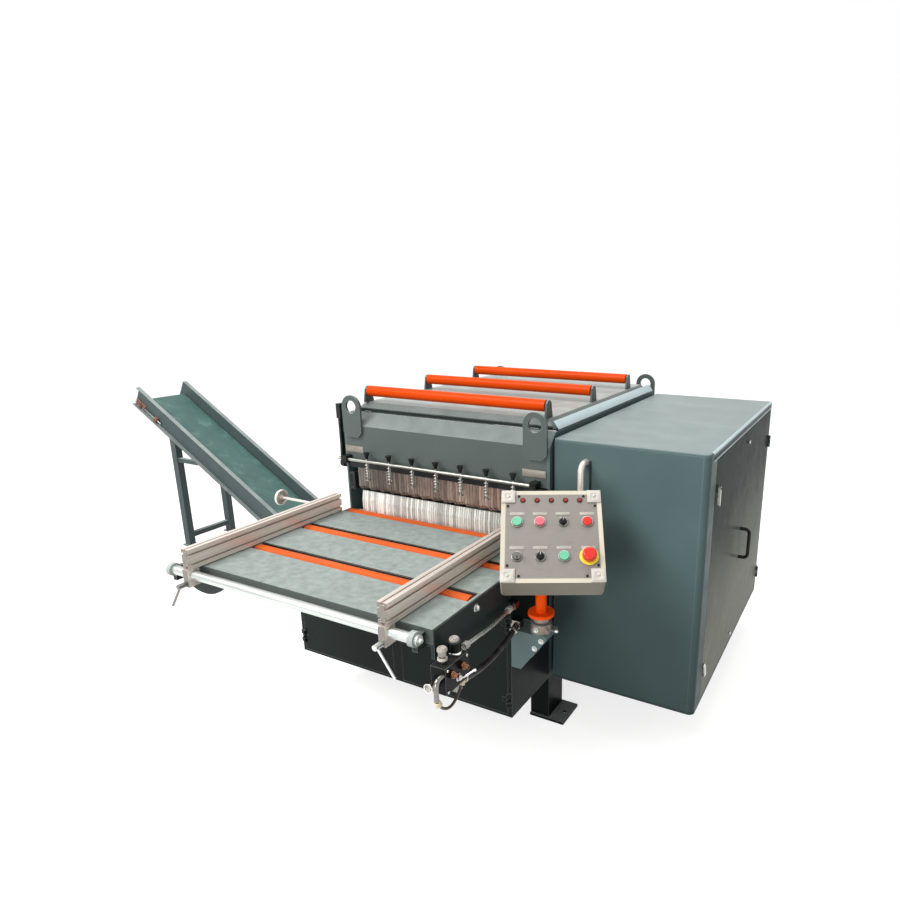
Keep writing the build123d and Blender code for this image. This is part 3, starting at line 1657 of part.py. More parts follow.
def make_drum(place):
    x, z = place
    side = channel_flange + drum_side_gap
    drum = rod_y(conveyor_near + side, conveyor_far - side, x, z, drum_r)
    return drum + rod_y(conveyor_near + shaft_inset, conveyor_far - shaft_inset, x, z, drum_shaft_r)


left_span, right_span = door_spans()
green_high, red_high, turn_high, red_right, key_place, turn_low, green_low, stop_place = control_places()
tail_place, knee_place, head_place = drum_places()

nodes = {
    "main_frame": make_main_frame(),
    "hood_shell": make_hood_shell(),
    "hood_lid": make_hood_lid(),
    "return_roller_front": make_return_roller(return_ys[0]),
    "return_roller_middle": make_return_roller(return_ys[1]),
    "return_roller_rear": make_return_roller(return_ys[2]),
    "front_box": make_front_box(),
    "front_door_left": make_front_door(left_span, False),
    "front_door_right": make_front_door(right_span, True),
    "table_frame": make_table_frame(),
    "table_plates": make_table_plates(),
    "infeed_roller_front": make_infeed_roller(roller_ys[0]),
    "infeed_roller_middle": make_infeed_roller(roller_ys[1]),
    "infeed_roller_rear": make_infeed_roller(roller_ys[2]),
    "front_bar": make_front_bar(),
    "fence_left": make_fence(fence_left_x, True),
    "fence_right": make_fence(fence_right_x, False),
    "clamp_lever_left": make_clamp_lever(fence_left_x, -1),
    "clamp_lever_right": make_clamp_lever(fence_right_x, 1),
    "hand_wheel": make_hand_wheel(),
    "finger_lever": make_finger_lever(),
    "upper_fingers": make_upper_fingers(),
    "lower_fingers": make_lower_fingers(),
    "spring_rail": make_spring_rail(),
    "rail_caps": make_rail_caps(),
    "springs": make_springs(),
    "cabinet_shell": make_cabinet_shell(),
    "cabinet_door": make_cabinet_door(),
    "door_latch": make_door_latch(),
    "door_handle": make_door_handle(),
    "bow_handle": make_bow_handle(),
    "saw_arbor": make_saw_arbor(),
    "moving_blade": make_moving_blade(),
    "arbor_housing": make_arbor_housing(),
    "shift_fork": make_shift_fork(),
    "motor": make_motor(),
    "motor_pulley": make_motor_pulley(),
    "drive_belts": make_drive_belts(),
    "control_box": make_control_box(),
    "control_face": make_control_face(),
    "panel_post": make_panel_post(),
    "indicator_lamps": make_lamps(),
    "button_green_upper": make_button(*green_high),
    "button_red_upper": make_button(*red_high),
    "selector_upper": make_selector(*turn_high),
    "button_red_right": make_button(*red_right),
    "key_switch": make_key_switch(*key_place),
    "selector_lower": make_selector(*turn_low),
    "button_green_lower": make_button(*green_low),
    "emergency_stop": make_emergency_stop(*stop_place),
    "panel_bracket": make_panel_bracket(),
    "valve_block": make_valve_block(),
    "valve_fittings": make_valve_fittings(),
    "hose_thin": make_hose(hose_thin_route(), hose_thin_r, "thin hose"),
    "hose_thick": make_hose(hose_thick_route(), hose_thick_r, "thick hose"),
    "hose_loop": make_hose(hose_loop_route(), hose_loop_r, "looped hose"),
    "conveyor_frame": make_conveyor_frame(),
    "conveyor_belt": make_conveyor_belt(),
    "head_drum": make_drum(head_place),
    "tail_drum": make_drum(tail_place),
}

os.makedirs("parts", exist_ok=True)
for name, shape in nodes.items():
    export_step(shape, f"parts/{name}.step")
print(len(nodes), "parts")
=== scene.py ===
# %% [markdown]
# # A double edging saw, dressed for its portrait
# The saw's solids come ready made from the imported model. This lesson loads them, puts the camera
# where the photographer stood, gives every surface the finish it has on the real machine, and models
# the small things that a solid model leaves out.

# %% Load the solid model
import bmesh
import bpy
import math
from mathutils import Matrix, Vector


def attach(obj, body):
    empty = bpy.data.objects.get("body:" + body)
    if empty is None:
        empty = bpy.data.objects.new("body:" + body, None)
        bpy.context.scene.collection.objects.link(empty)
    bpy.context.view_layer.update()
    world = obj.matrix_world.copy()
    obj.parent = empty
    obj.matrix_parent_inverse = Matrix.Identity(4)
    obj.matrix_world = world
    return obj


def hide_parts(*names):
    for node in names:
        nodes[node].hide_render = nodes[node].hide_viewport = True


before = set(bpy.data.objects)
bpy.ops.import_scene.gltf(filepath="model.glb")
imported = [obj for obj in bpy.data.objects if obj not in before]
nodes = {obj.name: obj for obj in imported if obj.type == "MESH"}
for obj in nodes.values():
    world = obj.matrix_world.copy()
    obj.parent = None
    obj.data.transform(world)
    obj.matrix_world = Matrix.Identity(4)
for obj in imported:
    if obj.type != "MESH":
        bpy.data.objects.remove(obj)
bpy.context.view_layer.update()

# %% [markdown]
# ## The camera
# The photograph was taken from the saw's front right corner, a little above head height. The edges of
# the cabinet and the table give the camera's place, its turn and its focal length. A lens shift puts
# the picture's centre back where the photograph was cropped.

# %% Place the camera
eye = Vector((1.682, -2.970, 1.850))
ahead = Vector((-0.45158, 0.84888, -0.27474))
right = Vector((0.88336, 0.46869, -0.0038))
lens = bpy.data.cameras.new("Photo_camera")
lens.sensor_width = 36.0
lens.lens = 26.62
lens.shift_x = -0.0908
lens.shift_y = 0.0323
lens.clip_end = 200.0
camera = bpy.data.objects.new("Photo_camera", lens)
bpy.context.scene.collection.objects.link(camera)
turn = Matrix((right, right.cross(ahead), -ahead)).transposed()
camera.matrix_world = Matrix.Translation(eye) @ turn.to_4x4()
bpy.context.scene.camera = camera
print("camera", [round(v, 3) for v in eye], "lens", lens.lens)

# %% [markdown]
# ## The hoses
# Three hoses serve the valve unit on the right apron: a thin bright air line, a thick black pressure
# line and a short loop in front. A hose could be a swept mesh, but a curve with a round bevel stays
# smooth. Each is one spline whose control points are the corners of the hose's route.

# %% Draw the hoses
hose_routes = {
    "hose_thin": (0.008, [(0.566, -1.35, 0.72), (0.566, -1.28, 0.7179), (0.5668, -1.1962, 0.712),
                          (0.566, -1.1123, 0.7146), (0.5646, -1.0424, 0.718)]),
    "hose_thick": (0.011, [(0.57, -1.37, 0.61), (0.57, -1.3117, 0.596), (0.5684, -1.2322, 0.5865),
                           (0.5667, -1.1483, 0.5881), (0.5652, -1.0694, 0.6016), (0.564, -1.0126, 0.6209)]),
    "hose_loop": (0.0048, [(0.6, -1.549, 0.634), (0.6, -1.532, 0.6046), (0.6, -1.4834, 0.581),
                           (0.5984, -1.4348, 0.6045), (0.5984, -1.4178, 0.634)]),
}


def draw_hose(node, radius, points):
    """One smooth open spline through the route's corners, as thick as the hose."""
    curve = bpy.data.curves.new(node + "_rubber", "CURVE")
    curve.dimensions = "3D"
    curve.bevel_depth = 1.0
    curve.bevel_resolution = 5
    curve.resolution_u = 24
    curve.use_fill_caps = True
    line = curve.splines.new("NURBS")
    line.points.add(len(points) - 1)
    for point, place in zip(line.points, points):
        point.co = (*place, 1.0)
        point.radius = radius
    line.order_u = 3
    line.use_endpoint_u = True
    hose = bpy.data.objects.new(node + "_rubber", curve)
    bpy.context.scene.collection.objects.link(hose)
    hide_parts(node)
    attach(hose, "frame")
    return hose


hoses = {node: draw_hose(node, *route) for node, route in hose_routes.items()}
print("hoses", list(hoses))

# %% [markdown]
# ## Helpers for finishes
# Colours are written as the hex values a paint chart would give, and turned to linear light once.
# A material could be wired by hand in the shader editor. Here every node is added by one small function
# that sets its values and links, so that a finish can be read from top to bottom.

# %% Colour and node helpers
def linear(code):
    """A hex colour as linear light, with full alpha."""
    parts = [int(code[i:i + 2], 16) / 255 for i in (0, 2, 4)]
    return (*[c / 12.92 if c <= 0.04045 else ((c + 0.055) / 1.055) ** 2.4 for c in parts], 1.0)


def add(tree, kind, inputs=None, **settings):
    """Adds one node, sets it up, and links or fills its inputs."""
    node = tree.nodes.new("ShaderNode" + kind)
    for key, value in settings.items():
        setattr(node, key, value)
    for key, value in (inputs or {}).items():
        if isinstance(value, bpy.types.NodeSocket):
            tree.links.new(value, node.inputs[key])
        else:
            node.inputs[key].default_value = value
    return node


def new_material(name):
    """An empty material and its node tree."""
    material = bpy.data.materials.new(name)
    material.use_nodes = True
    material.node_tree.nodes.clear()
    return material, material.node_tree


print("white paper is", [round(v, 3) for v in linear("ffffff")])

# %% [markdown]
# ## Sprayed enamel
# Most of the machine is sheet steel with a sprayed two-pack enamel. Such a coat is never one flat colour: it
# drifts a little from panel to panel, carries a fine orange peel, takes sawdust on its level tops, and is
# rubbed paler along its edges. On top of that the coat carries painted shade near the floor, on undersides
# and on upright faces, a painted sky sheen on its level tops and a painted highlight along its edges. A
# painted texture could hold all that, but it would need an unwrapped mesh. Here noise and the way each face
# looks do the work, and the edge comes from a Bevel node, which looks at the neighbouring faces while
# rendering, so the solids need no rounding.

# %% What age and painted shade do to paint
def zoned(tree, paint, place, height, foot, bare_round):
    """Gives the beams on the floor a colour of their own, and bares the metal round a bar along X."""
    if foot:
        # The beams on the floor end a little over 0.2 m up.
        low = add(tree, "MapRange", {"Value": height, "From Min": 0.225, "From Max": 0.205}).outputs[0]
        paint = add(tree, "Mix", {0: low, 6: paint, 7: linear(foot)}, data_type="RGBA").outputs[2]
    if bare_round:
        bar_y, bar_z, bare_radius, bare_colour = bare_round
        offset = add(tree, "VectorMath", {0: place, 1: (0, bar_y, bar_z)}, operation="SUBTRACT").outputs[0]
        across = add(tree, "VectorMath", {0: offset, 1: (0, 1, 1)}, operation="MULTIPLY").outputs[0]
        reach = add(tree, "VectorMath", {0: across}, operation="LENGTH").outputs["Value"]
        inside = add(tree, "MapRange", {"Value": reach, "From Min": bare_radius + 0.001,
                                        "From Max": bare_radius}).outputs[0]
        paint = add(tree, "Mix", {0: inside, 6: paint, 7: linear(bare_colour)}, data_type="RGBA").outputs[2]
    return paint


def aged_and_shaded(tree, paint, drift, height, facing, floor_shade, underside_shade, side_shade):
    """Lets the tone drift at random, and paints shade near the floor, on undersides and on upright faces."""
    shade = add(tree, "MapRange", {"Value": drift, "From Min": 0.3, "From Max": 0.7,
                                   "To Min": 0.9, "To Max": 1.08}).outputs[0]
    # Painted shade: the tone darkens toward the floor, on undersides and on upright faces.
    floor_shaded = add(tree, "MapRange", {"Value": height, "From Min": 0.25, "From Max": 1.0,
                                   "To Min": floor_shade}).outputs[0]
    hidden = add(tree, "MapRange", {"Value": facing, "From Min": -0.75, "From Max": -0.1,
                                    "To Min": underside_shade}).outputs[0]
    standing = add(tree, "MapRange", {"Value": facing, "From Min": 0.2, "From Max": 0.7,
                                      "To Min": side_shade}).outputs[0]
    shaded = add(tree, "Math", {0: hidden, 1: standing}, operation="MULTIPLY").outputs[0]
    dark = add(tree, "Math", {0: floor_shaded, 1: shaded}, operation="MULTIPLY").outputs[0]
    tone = add(tree, "Math", {0: shade, 1: dark}, operation="MULTIPLY").outputs[0]
    return add(tree, "Mix", {0: 1.0, 6: paint, 7: tone}, data_type="RGBA", blend_type="MULTIPLY").outputs[2]


def reflect_ground(tree, coat, drift, height, settled, ground_reflection):
    """Paints a wavy reflection of the ground on the lower half."""
    wavy = add(tree, "Math", {0: drift, 1: -0.3, 2: height}, operation="MULTIPLY_ADD").outputs[0]
    reflection_share = add(tree, "MapRange", {"Value": wavy, "From Min": 0.85, "From Max": 0.3,
                                    "To Max": 0.8}).outputs[0]
    uneven = add(tree, "MapRange", {"Value": settled, "From Min": 0.2, "From Max": 0.7,
                                    "To Min": 0.7}).outputs[0]
    share = add(tree, "Math", {0: reflection_share, 1: uneven}, operation="MULTIPLY").outputs[0]
    return add(tree, "Mix", {0: share, 6: coat, 7: linear(ground_reflection)}, data_type="RGBA").outputs[2]


def rubbed_and_lit(tree, coat, true_normal, speck, rub_and_glint):
    """Rubs the edges paler and paints a highlight on them: there the normal of a softened corner leaves the
    true one.
    """
    # The pale line, rubbed paint with a painted highlight, is 2 mm wide on the machine and drawn at 4 mm so
    # that it shows.
    edge_line_width = 0.004
    soft = add(tree, "Bevel", {"Radius": edge_line_width}, samples=4).outputs[0]
    match = add(tree, "VectorMath", {0: soft, 1: true_normal}, operation="DOT_PRODUCT").outputs["Value"]
    edge = add(tree, "MapRange", {"Value": match, "From Min": 0.995, "From Max": 0.86,
                                  "To Max": rub_and_glint}).outputs[0]
    worn = add(tree, "Math", {0: edge, 1: speck}, operation="MULTIPLY").outputs[0]
    bare_and_highlight = add(tree, "Mix", {0: 0.55, 6: coat, 7: linear("b4beba")}, data_type="RGBA").outputs[2]
    return add(tree, "Mix", {0: worn, 6: coat, 7: bare_and_highlight}, data_type="RGBA").outputs[2]


print("paint can be zoned, aged, splashed and rubbed")

# %% Enamel
def enamel(name, colour, rough=0.36, gloss=0.3, dust_and_sheen=0.2, rub_and_glint=0.45, floor_shade=0.6, underside_shade=0.6, patch=0.09,
           even=0.5, side_shade=1.0, foot=None, ground_reflection=None, bare_round=None):
    """A sprayed coat, worn and with sawdust, carrying painted shade, a painted sky sheen and painted edge
    highlights.

    floor_shade is the tone of the painted shade near the floor, underside_shade that of the painted shade on
    its undersides, and side_shade that of the painted shade on its upright faces. dust_and_sheen is the share
    of sawdust and painted sky sheen on level tops, even how much of it lies evenly, and patch the width of
    its patches in metres. foot is the colour of the beams on the floor, ground_reflection that of a painted
    reflection of the ground on the lower half, and bare_round the Y, Z, radius and colour of unpainted metal
    round a bar along X.
    """
    # The tone drifts over 350 mm. Orange peel has a pitch of about 3 mm and is drawn at 7 mm to show.
    drift_width, peel_width = 0.35, 0.007
    material, tree = new_material(name)
    place = add(tree, "TexCoord").outputs["Object"]
    height = add(tree, "SeparateXYZ", {0: place}).outputs["Z"]
    surface = add(tree, "NewGeometry").outputs
    facing = add(tree, "SeparateXYZ", {0: surface["Normal"]}).outputs["Z"]
    drift = add(tree, "TexNoise", {"Vector": place, "Scale": 1 / drift_width, "Detail": 3.0}).outputs[0]
    paint = zoned(tree, linear(colour), place, height, foot, bare_round)
    painted = aged_and_shaded(tree, paint, drift, height, facing, floor_shade, underside_shade, side_shade)
    # Sawdust settles where a face looks up, and its pale cool grey also paints the sky's sheen on level tops.
    settled = add(tree, "TexNoise", {"Vector": place, "Scale": 1 / patch, "Detail": 6.0,
                                     "Roughness": 0.6}).outputs[0]
    speck = add(tree, "MapRange", {"Value": settled, "From Min": 0.25, "From Max": 0.75,
                                   "To Min": even}).outputs[0]
    level = add(tree, "MapRange", {"Value": facing, "From Min": 0.55, "From Max": 1.0,
                                   "To Max": dust_and_sheen}).outputs[0]
    dust_and_sheen_share = add(tree, "Math", {0: level, 1: speck}, operation="MULTIPLY").outputs[0]
    coat = add(tree, "Mix", {0: dust_and_sheen_share, 6: painted, 7: linear("c2cac5")}, data_type="RGBA").outputs[2]
    if ground_reflection:
        coat = reflect_ground(tree, coat, drift, height, settled, ground_reflection)
    coat = rubbed_and_lit(tree, coat, surface["True Normal"], speck, rub_and_glint)
    peel = add(tree, "TexNoise", {"Vector": place, "Scale": 1 / peel_width, "Detail": 1.0}).outputs[0]
    bump = add(tree, "Bump", {"Height": peel, "Strength": 0.12, "Distance": 0.0006}).outputs[0]
    haze = add(tree, "MapRange", {"Value": settled, "From Min": 0.3, "From Max": 0.7,
                                  "To Min": rough - 0.05, "To Max": rough + 0.1}).outputs[0]
    skin = add(tree, "BsdfPrincipled", {"Base Color": coat, "Roughness": haze, "IOR": 1.5,
                                        "Specular IOR Level": gloss, "Normal": bump})
    add(tree, "OutputMaterial", {"Surface": skin.outputs[0]})
    return material


print("enamel recipe ready")

# %% Coats of enamel
# The body is a dull teal over black beams, and its bracket is painted a shade paler, as painted light where
# the panel's shadow falls on it. Sawdust and a painted sky sheen make the level tops of the hood and the
# table pale, and a pale line of rubbed paint and painted highlight shows where the light catches a folded
# edge.
# The shade values in these coats set how dark the painted shade is near the floor, on undersides and on
# upright faces.
teal_enamel = enamel("Teal_grey_enamel", "4f6162", gloss=0.06, dust_and_sheen=0.42, patch=0.16, foot="101212")
# The bracket's paler colour is painted light, where the panel's shadow falls on it.
lit_bracket_enamel = enamel("Lit_bracket_enamel", "627475", gloss=0.15, floor_shade=1.0, underside_shade=0.8)
hood_enamel = enamel("Hood_enamel", "505957", gloss=0.2, dust_and_sheen=0.65)
table_enamel = enamel("Table_plate_enamel", "727c78", rough=0.5, gloss=0.2, dust_and_sheen=0.45, rub_and_glint=0.7,
                      patch=0.035, even=0.2, side_shade=0.5)
# Pale strips on the lid's side and on the roof's rim and edge are painted highlights, where light catches
# them.
highlight_enamel = enamel("Painted_highlight_strip", "c8dade", rough=0.35, gloss=0.2, dust_and_sheen=0.2, rub_and_glint=0.4, floor_shade=1.0)
# The aprons and the front box stand in the table's shade and look nearly black. Round the front bar the
# aprons are bare metal.
apron_enamel = enamel("Shaded_apron_enamel", "2e3736", gloss=0.1, rub_and_glint=0.8,
                      bare_round=(-1.525, 0.818, 0.0258, "a9b0ae"))
box_enamel = enamel("Shaded_box_enamel", "1f2524", rough=0.3, gloss=0.06, floor_shade=0.8)
# The valve block and the finger lever are black, with a soft shine.
block_enamel = enamel("Black_block_enamel", "0a0b0b", rough=0.3, gloss=0.1, dust_and_sheen=0.05, rub_and_glint=0.6)
black_enamel = enamel("Black_enamel", "17191a", rough=0.35, gloss=0.25, dust_and_sheen=0.1, rub_and_glint=0.3)
# The side door is smoother; its darker colour is painted shade, and its lower half carries a painted
# reflection of the ground. The conveyor carries the most sawdust and painted sky sheen of all.
shaded_door_enamel = enamel("Shaded_door_gloss_enamel", "39413f", rough=0.2, gloss=0.002, dust_and_sheen=0.1, ground_reflection="a3a598")
channel_enamel = enamel("Conveyor_grey_enamel", "475453", rough=0.45, gloss=0.2, dust_and_sheen=0.8, rub_and_glint=0.9,
                        floor_shade=0.95)
# Orange marks the rollers and the panel's post. The rollers in the table are paler with dust.
orange_look = {"rough": 0.3, "gloss": 0.08, "dust_and_sheen": 0.0, "rub_and_glint": 0.1, "floor_shade": 1.0, "underside_shade": 0.8}
orange_enamel = enamel("Orange_roller_enamel", "cf4200", **orange_look)
dusty_orange = enamel("Dusty_orange_enamel", "c95a28", **orange_look)
# The post's brighter orange paints light on it where the panel's shadow falls.
lit_orange = enamel("Lit_orange_enamel", "ff5408", **orange_look)
# The panel's box is a clean ivory. Castings show a rougher skin, and red oxide is a flat primer.
ivory_enamel = enamel("Ivory_box_enamel", "c4bdab", rough=0.4, gloss=0.15, dust_and_sheen=0.05, rub_and_glint=0.1, floor_shade=0.9,
                      underside_shade=0.3)
cast_enamel = enamel("Painted_cast_iron", "5c6468", rough=0.55, dust_and_sheen=0.4, rub_and_glint=0.5)
oxide_enamel = enamel("Red_oxide_primer", "7a4a40", rough=0.6, gloss=0.15, dust_and_sheen=0.2, rub_and_glint=0.7, floor_shade=0.9)
print("enamels", [m.name for m in bpy.data.materials if "enamel" in m.name])

# %% [markdown]
# ## Bare metals
# The bar, the fences, the fingers and the small fittings are bare metal. What tells one from another is the
# mark its making left: drawn bars shine along their length, extruded aluminium shows fine die lines, and the
# fingers were ground up and down. One recipe stretches a noise along the working direction for all of them,
# instead of one image per metal. The fences' end faces are darkened as painted shade for their hollow ends,
# and at the left of the row the upper fingers grade to a painted shade and the lower ones to a painted light.

# %% Metal
def varied(tree, base, place, light_fade, strip, end_shade):
    """Grades the tone along X as painted light and shade, jumps it at random from bar to bar, and paints
    shade on end faces.
    """
    across = add(tree, "SeparateXYZ", {0: place}).outputs["X"]
    # Painted light and shade: the colour grades to another one toward the left end of the row.
    if light_fade:
        end_colour, fade_from, fade_to = light_fade
        share = add(tree, "MapRange", {"Value": across, "From Min": fade_from, "From Max": fade_to,
                                       "To Min": 1.0, "To Max": 0.0}).outputs[0]
        base = add(tree, "Mix", {0: share, 6: base, 7: linear(end_colour)}, data_type="RGBA").outputs[2]
    if strip:
        count = add(tree, "Math", {0: across, 1: strip}, operation="DIVIDE").outputs[0]
        bar = add(tree, "Math", {0: count}, operation="FLOOR").outputs[0]
        chance = add(tree, "TexWhiteNoise", {"W": bar}, noise_dimensions="1D").outputs["Value"]
        tone = add(tree, "MapRange", {"Value": chance, "To Min": 0.55, "To Max": 1.22}).outputs[0]
        base = add(tree, "Mix", {0: 1.0, 6: base, 7: tone}, data_type="RGBA",
                   blend_type="MULTIPLY").outputs[2]
    # Painted shade: faces that look along Y, the hollow ends of the profile, are darkened.
    if end_shade:
        normal = add(tree, "NewGeometry").outputs["Normal"]
        facing = add(tree, "SeparateXYZ", {0: normal}).outputs["Y"]
        end_facing = add(tree, "Math", {0: facing}, operation="ABSOLUTE").outputs[0]
        tone = add(tree, "MapRange", {"Value": end_facing, "From Min": 0.8, "From Max": 0.95,
                                      "To Min": 1.0, "To Max": end_shade}).outputs[0]
        base = add(tree, "Mix", {0: 1.0, 6: base, 7: tone}, data_type="RGBA",
                   blend_type="MULTIPLY").outputs[2]
    return base


def metal(name, colour, rough, lines, depth=0.25, metallic=1.0, stain="6b5f55", stained=0.2, strip=None,
          end_shade=None, light_fade=None):
    """Bare metal with the marks of its making.

    lines is the spacing of the marks in metres along X, Y and Z, and depth how much they change the tone.
    stain is the colour of its brownish patches and stained their share. strip is the pitch of separate bars
    of uneven tone, end_shade the tone of the painted shade on end faces that look along Y, and light_fade the
    colour painted at the left end as light or shade, with the X where the grading begins and ends.
    """
    # Handling and damp leave brownish patches some 40 mm across.
    stain_width = 0.04
    material, tree = new_material(name)
    place = add(tree, "TexCoord").outputs["Object"]
    stretch = add(tree, "Mapping", {"Vector": place, "Scale": [1 / v for v in lines]}).outputs[0]
    marks = add(tree, "TexNoise", {"Vector": stretch, "Scale": 1.0, "Detail": 4.0,
                                   "Roughness": 0.6}).outputs[0]
    spread = add(tree, "MapRange", {"Value": marks, "From Min": 0.3, "From Max": 0.7,
                                    "To Min": 1 - depth, "To Max": 1 + depth / 2}).outputs[0]
    base = varied(tree, linear(colour), place, light_fade, strip, end_shade)
    toned = add(tree, "Mix", {0: 1.0, 6: base, 7: spread}, data_type="RGBA",
                blend_type="MULTIPLY").outputs[2]
    cloud = add(tree, "TexNoise", {"Vector": place, "Scale": 1 / stain_width, "Detail": 5.0,
                                   "Roughness": 0.7}).outputs[0]
    spot = add(tree, "MapRange", {"Value": cloud, "From Min": 0.5, "From Max": 0.75,
                                  "To Max": stained}).outputs[0]
    skin_colour = add(tree, "Mix", {0: spot, 6: toned, 7: linear(stain)}, data_type="RGBA").outputs[2]
    dull = add(tree, "MapRange", {"Value": marks, "From Min": 0.3, "From Max": 0.7,
                                  "To Min": rough * 0.75, "To Max": rough * 1.3}).outputs[0]
    bump = add(tree, "Bump", {"Height": marks, "Strength": 0.15, "Distance": 0.0004}).outputs[0]
    skin = add(tree, "BsdfPrincipled", {"Base Color": skin_colour, "Roughness": dull, "Metallic": metallic,
                                        "Normal": bump})
    add(tree, "OutputMaterial", {"Surface": skin.outputs[0]})
    return material


print("a metal can be drawn, ground, sawn or stained")

# %% Kinds of metal
# Die lines and grinding marks are a few tenths of a millimetre apart, and are drawn at 3 or 4 mm to show.
# Drawn bars shine in long streaks. Plated parts are even and bright.
polished_bar = metal("Polished_drawn_bar", "cdd2cf", 0.36, (0.25, 0.004, 0.004), depth=0.12, stained=0.1)
rail_steel = metal("Drawn_rail_steel", "a3a49d", 0.35, (0.25, 0.004, 0.004), depth=0.15, stained=0.2)
chrome = metal("Chrome_plate", "e3e5e5", 0.1, (0.02, 0.02, 0.02), depth=0.06, stained=0.05)
zinc = metal("Zinc_plated_steel", "c6c8c4", 0.3, (0.006, 0.006, 0.006), depth=0.2, stained=0.1)
# Aluminium has a satin skin that scatters half of its light.
anodised = metal("Natural_anodised_extrusion", "e0d6cc", 0.4, (0.004, 0.5, 0.004), depth=0.18, metallic=0.5,
                 stained=0.05)
fence_alloy = metal("End_shaded_fence_extrusion", "e0d6cc", 0.4, (0.004, 0.5, 0.004), depth=0.18, metallic=0.5,
                    stained=0.05, end_shade=0.3)
dull_alloy = metal("Dull_alloy_plate", "948e86", 0.5, (0.1, 0.004, 0.004), depth=0.2, metallic=0.5,
                   stained=0.3)
# The fingers are dulled by rust and resin, so most of their light is scattered and not mirrored.
# The upper fingers grade to a painted shade at their left end.
finger_steel = metal("Browned_finger_steel", "a2897b", 0.5, (0.003, 0.003, 0.05), depth=0.5, metallic=0.2,
                     stain="4d3d34", stained=0.5, strip=0.015, light_fade=("6d6860", -0.47, 0.25))
# The lower fingers are bright steel, painted paler still for the light they catch as they tilt up, and grade
# to a painted light at their left end.
bright_lit_finger = metal("Bright_ground_lit_fingers", "d0d3ca", 0.6, (0.003, 0.003, 0.04), depth=0.3, metallic=0.1,
                      stained=0.08, strip=0.012, light_fade=("f4f4ee", -0.47, 0.2))
# Fittings, drums and brass are old and handled, and the saw blades are freshly ground.
fitting_steel = metal("Dull_fitting_steel", "85837d", 0.25, (0.006, 0.006, 0.006), depth=0.3, stained=0.3)
saw_steel = metal("Ground_saw_steel", "a9adb0", 0.3, (0.01, 0.003, 0.003), depth=0.2)
drum_steel = metal("Dull_drum_steel", "857a70", 0.45, (0.003, 0.05, 0.003), depth=0.3, stained=0.4)
brass = metal("Browned_brass", "7a5440", 0.28, (0.008, 0.008, 0.008), depth=0.2, stained=0.3)
# The panel's plate is a dull satin with faint level lines.
panel_plate = metal("Satin_panel_plate", "827d77", 0.55, (0.05, 0.05, 0.003), depth=0.12, metallic=0.25,
                    stained=0.15)
print("steels", [m.name for m in bpy.data.materials if "steel" in m.name])

# %% [markdown]
# ## Plastics, rubber and the belt
# Moulded knobs have a fine spark-eroded grain and soft highlights. Rubber hoses are dull with a faint
# bloom. The conveyor belt is green PVC on a woven carcass, so its weave shows through the cover. Grain and
# weave are bump only, because they are far too fine to model.

# %% Plastics and rubber
def moulded(name, colour, rough=0.35, gloss=0.5, bloom=0.0):
    """A moulding with a fine grain; bloom is the share of a greyish veil, as on old rubber."""
    # Spark-eroded grain is about 0.1 mm wide and is drawn at 1.2 mm to show. The veil drifts over 30 mm.
    grain_width, veil_width = 0.0012, 0.03
    material, tree = new_material(name)
    place = add(tree, "TexCoord").outputs["Object"]
    grain = add(tree, "TexNoise", {"Vector": place, "Scale": 1 / grain_width, "Detail": 2.0}).outputs[0]
    cloud = add(tree, "TexNoise", {"Vector": place, "Scale": 1 / veil_width, "Detail": 4.0}).outputs[0]
    tone = add(tree, "MapRange", {"Value": cloud, "From Min": 0.3, "From Max": 0.7,
                                  "To Min": 0.86, "To Max": 1.1}).outputs[0]
    body = add(tree, "Mix", {0: 1.0, 6: linear(colour), 7: tone}, data_type="RGBA",
               blend_type="MULTIPLY").outputs[2]
    veil = add(tree, "MapRange", {"Value": cloud, "From Min": 0.45, "From Max": 0.75,
                                  "To Max": bloom}).outputs[0]
    skin_colour = add(tree, "Mix", {0: veil, 6: body, 7: linear("8f8a80")}, data_type="RGBA").outputs[2]
    dull = add(tree, "MapRange", {"Value": cloud, "To Min": rough * 0.8, "To Max": rough * 1.2}).outputs[0]
    bump = add(tree, "Bump", {"Height": grain, "Strength": 0.1, "Distance": 0.0002}).outputs[0]
    skin = add(tree, "BsdfPrincipled", {"Base Color": skin_colour, "Roughness": dull, "IOR": 1.49,
                                        "Specular IOR Level": gloss, "Normal": bump})
    add(tree, "OutputMaterial", {"Surface": skin.outputs[0]})
    return material


# Nylon and label strips are soft and dull. Buttons and lenses are harder and shine.
black_plastic = moulded("Black_moulded_nylon", "141516", 0.4, gloss=0.2, bloom=0.05)
white_plastic = moulded("White_moulded_nylon", "bdb7ae", 0.4)
cream_plastic = moulded("Cream_moulded_nylon", "d9d0b0", 0.4)
label_plastic = moulded("Blank_label_strip", "a39d94", 0.5)
red_plastic = moulded("Red_moulded_button", "d3271e", 0.25)
pink_plastic = moulded("Faded_red_button", "e06672", 0.3)
green_plastic = moulded("Green_moulded_button", "68b592", 0.3)
yellow_plastic = moulded("Yellow_moulded_collar", "eecb35", 0.3)
lamp_plastic = moulded("Red_lamp_lens", "8d1f1c", 0.15, gloss=0.7)
# Rubber goes grey with bloom as it ages.
hose_rubber = moulded("Black_hose_rubber", "17181a", 0.42, bloom=0.18)
brown_hose = moulded("Brown_hose_rubber", "3a2a20", 0.4, bloom=0.1)
belt_rubber = moulded("Drive_belt_rubber", "151515", 0.7, bloom=0.3)
print("mouldings", [m.name for m in bpy.data.materials if "moulded" in m.name])

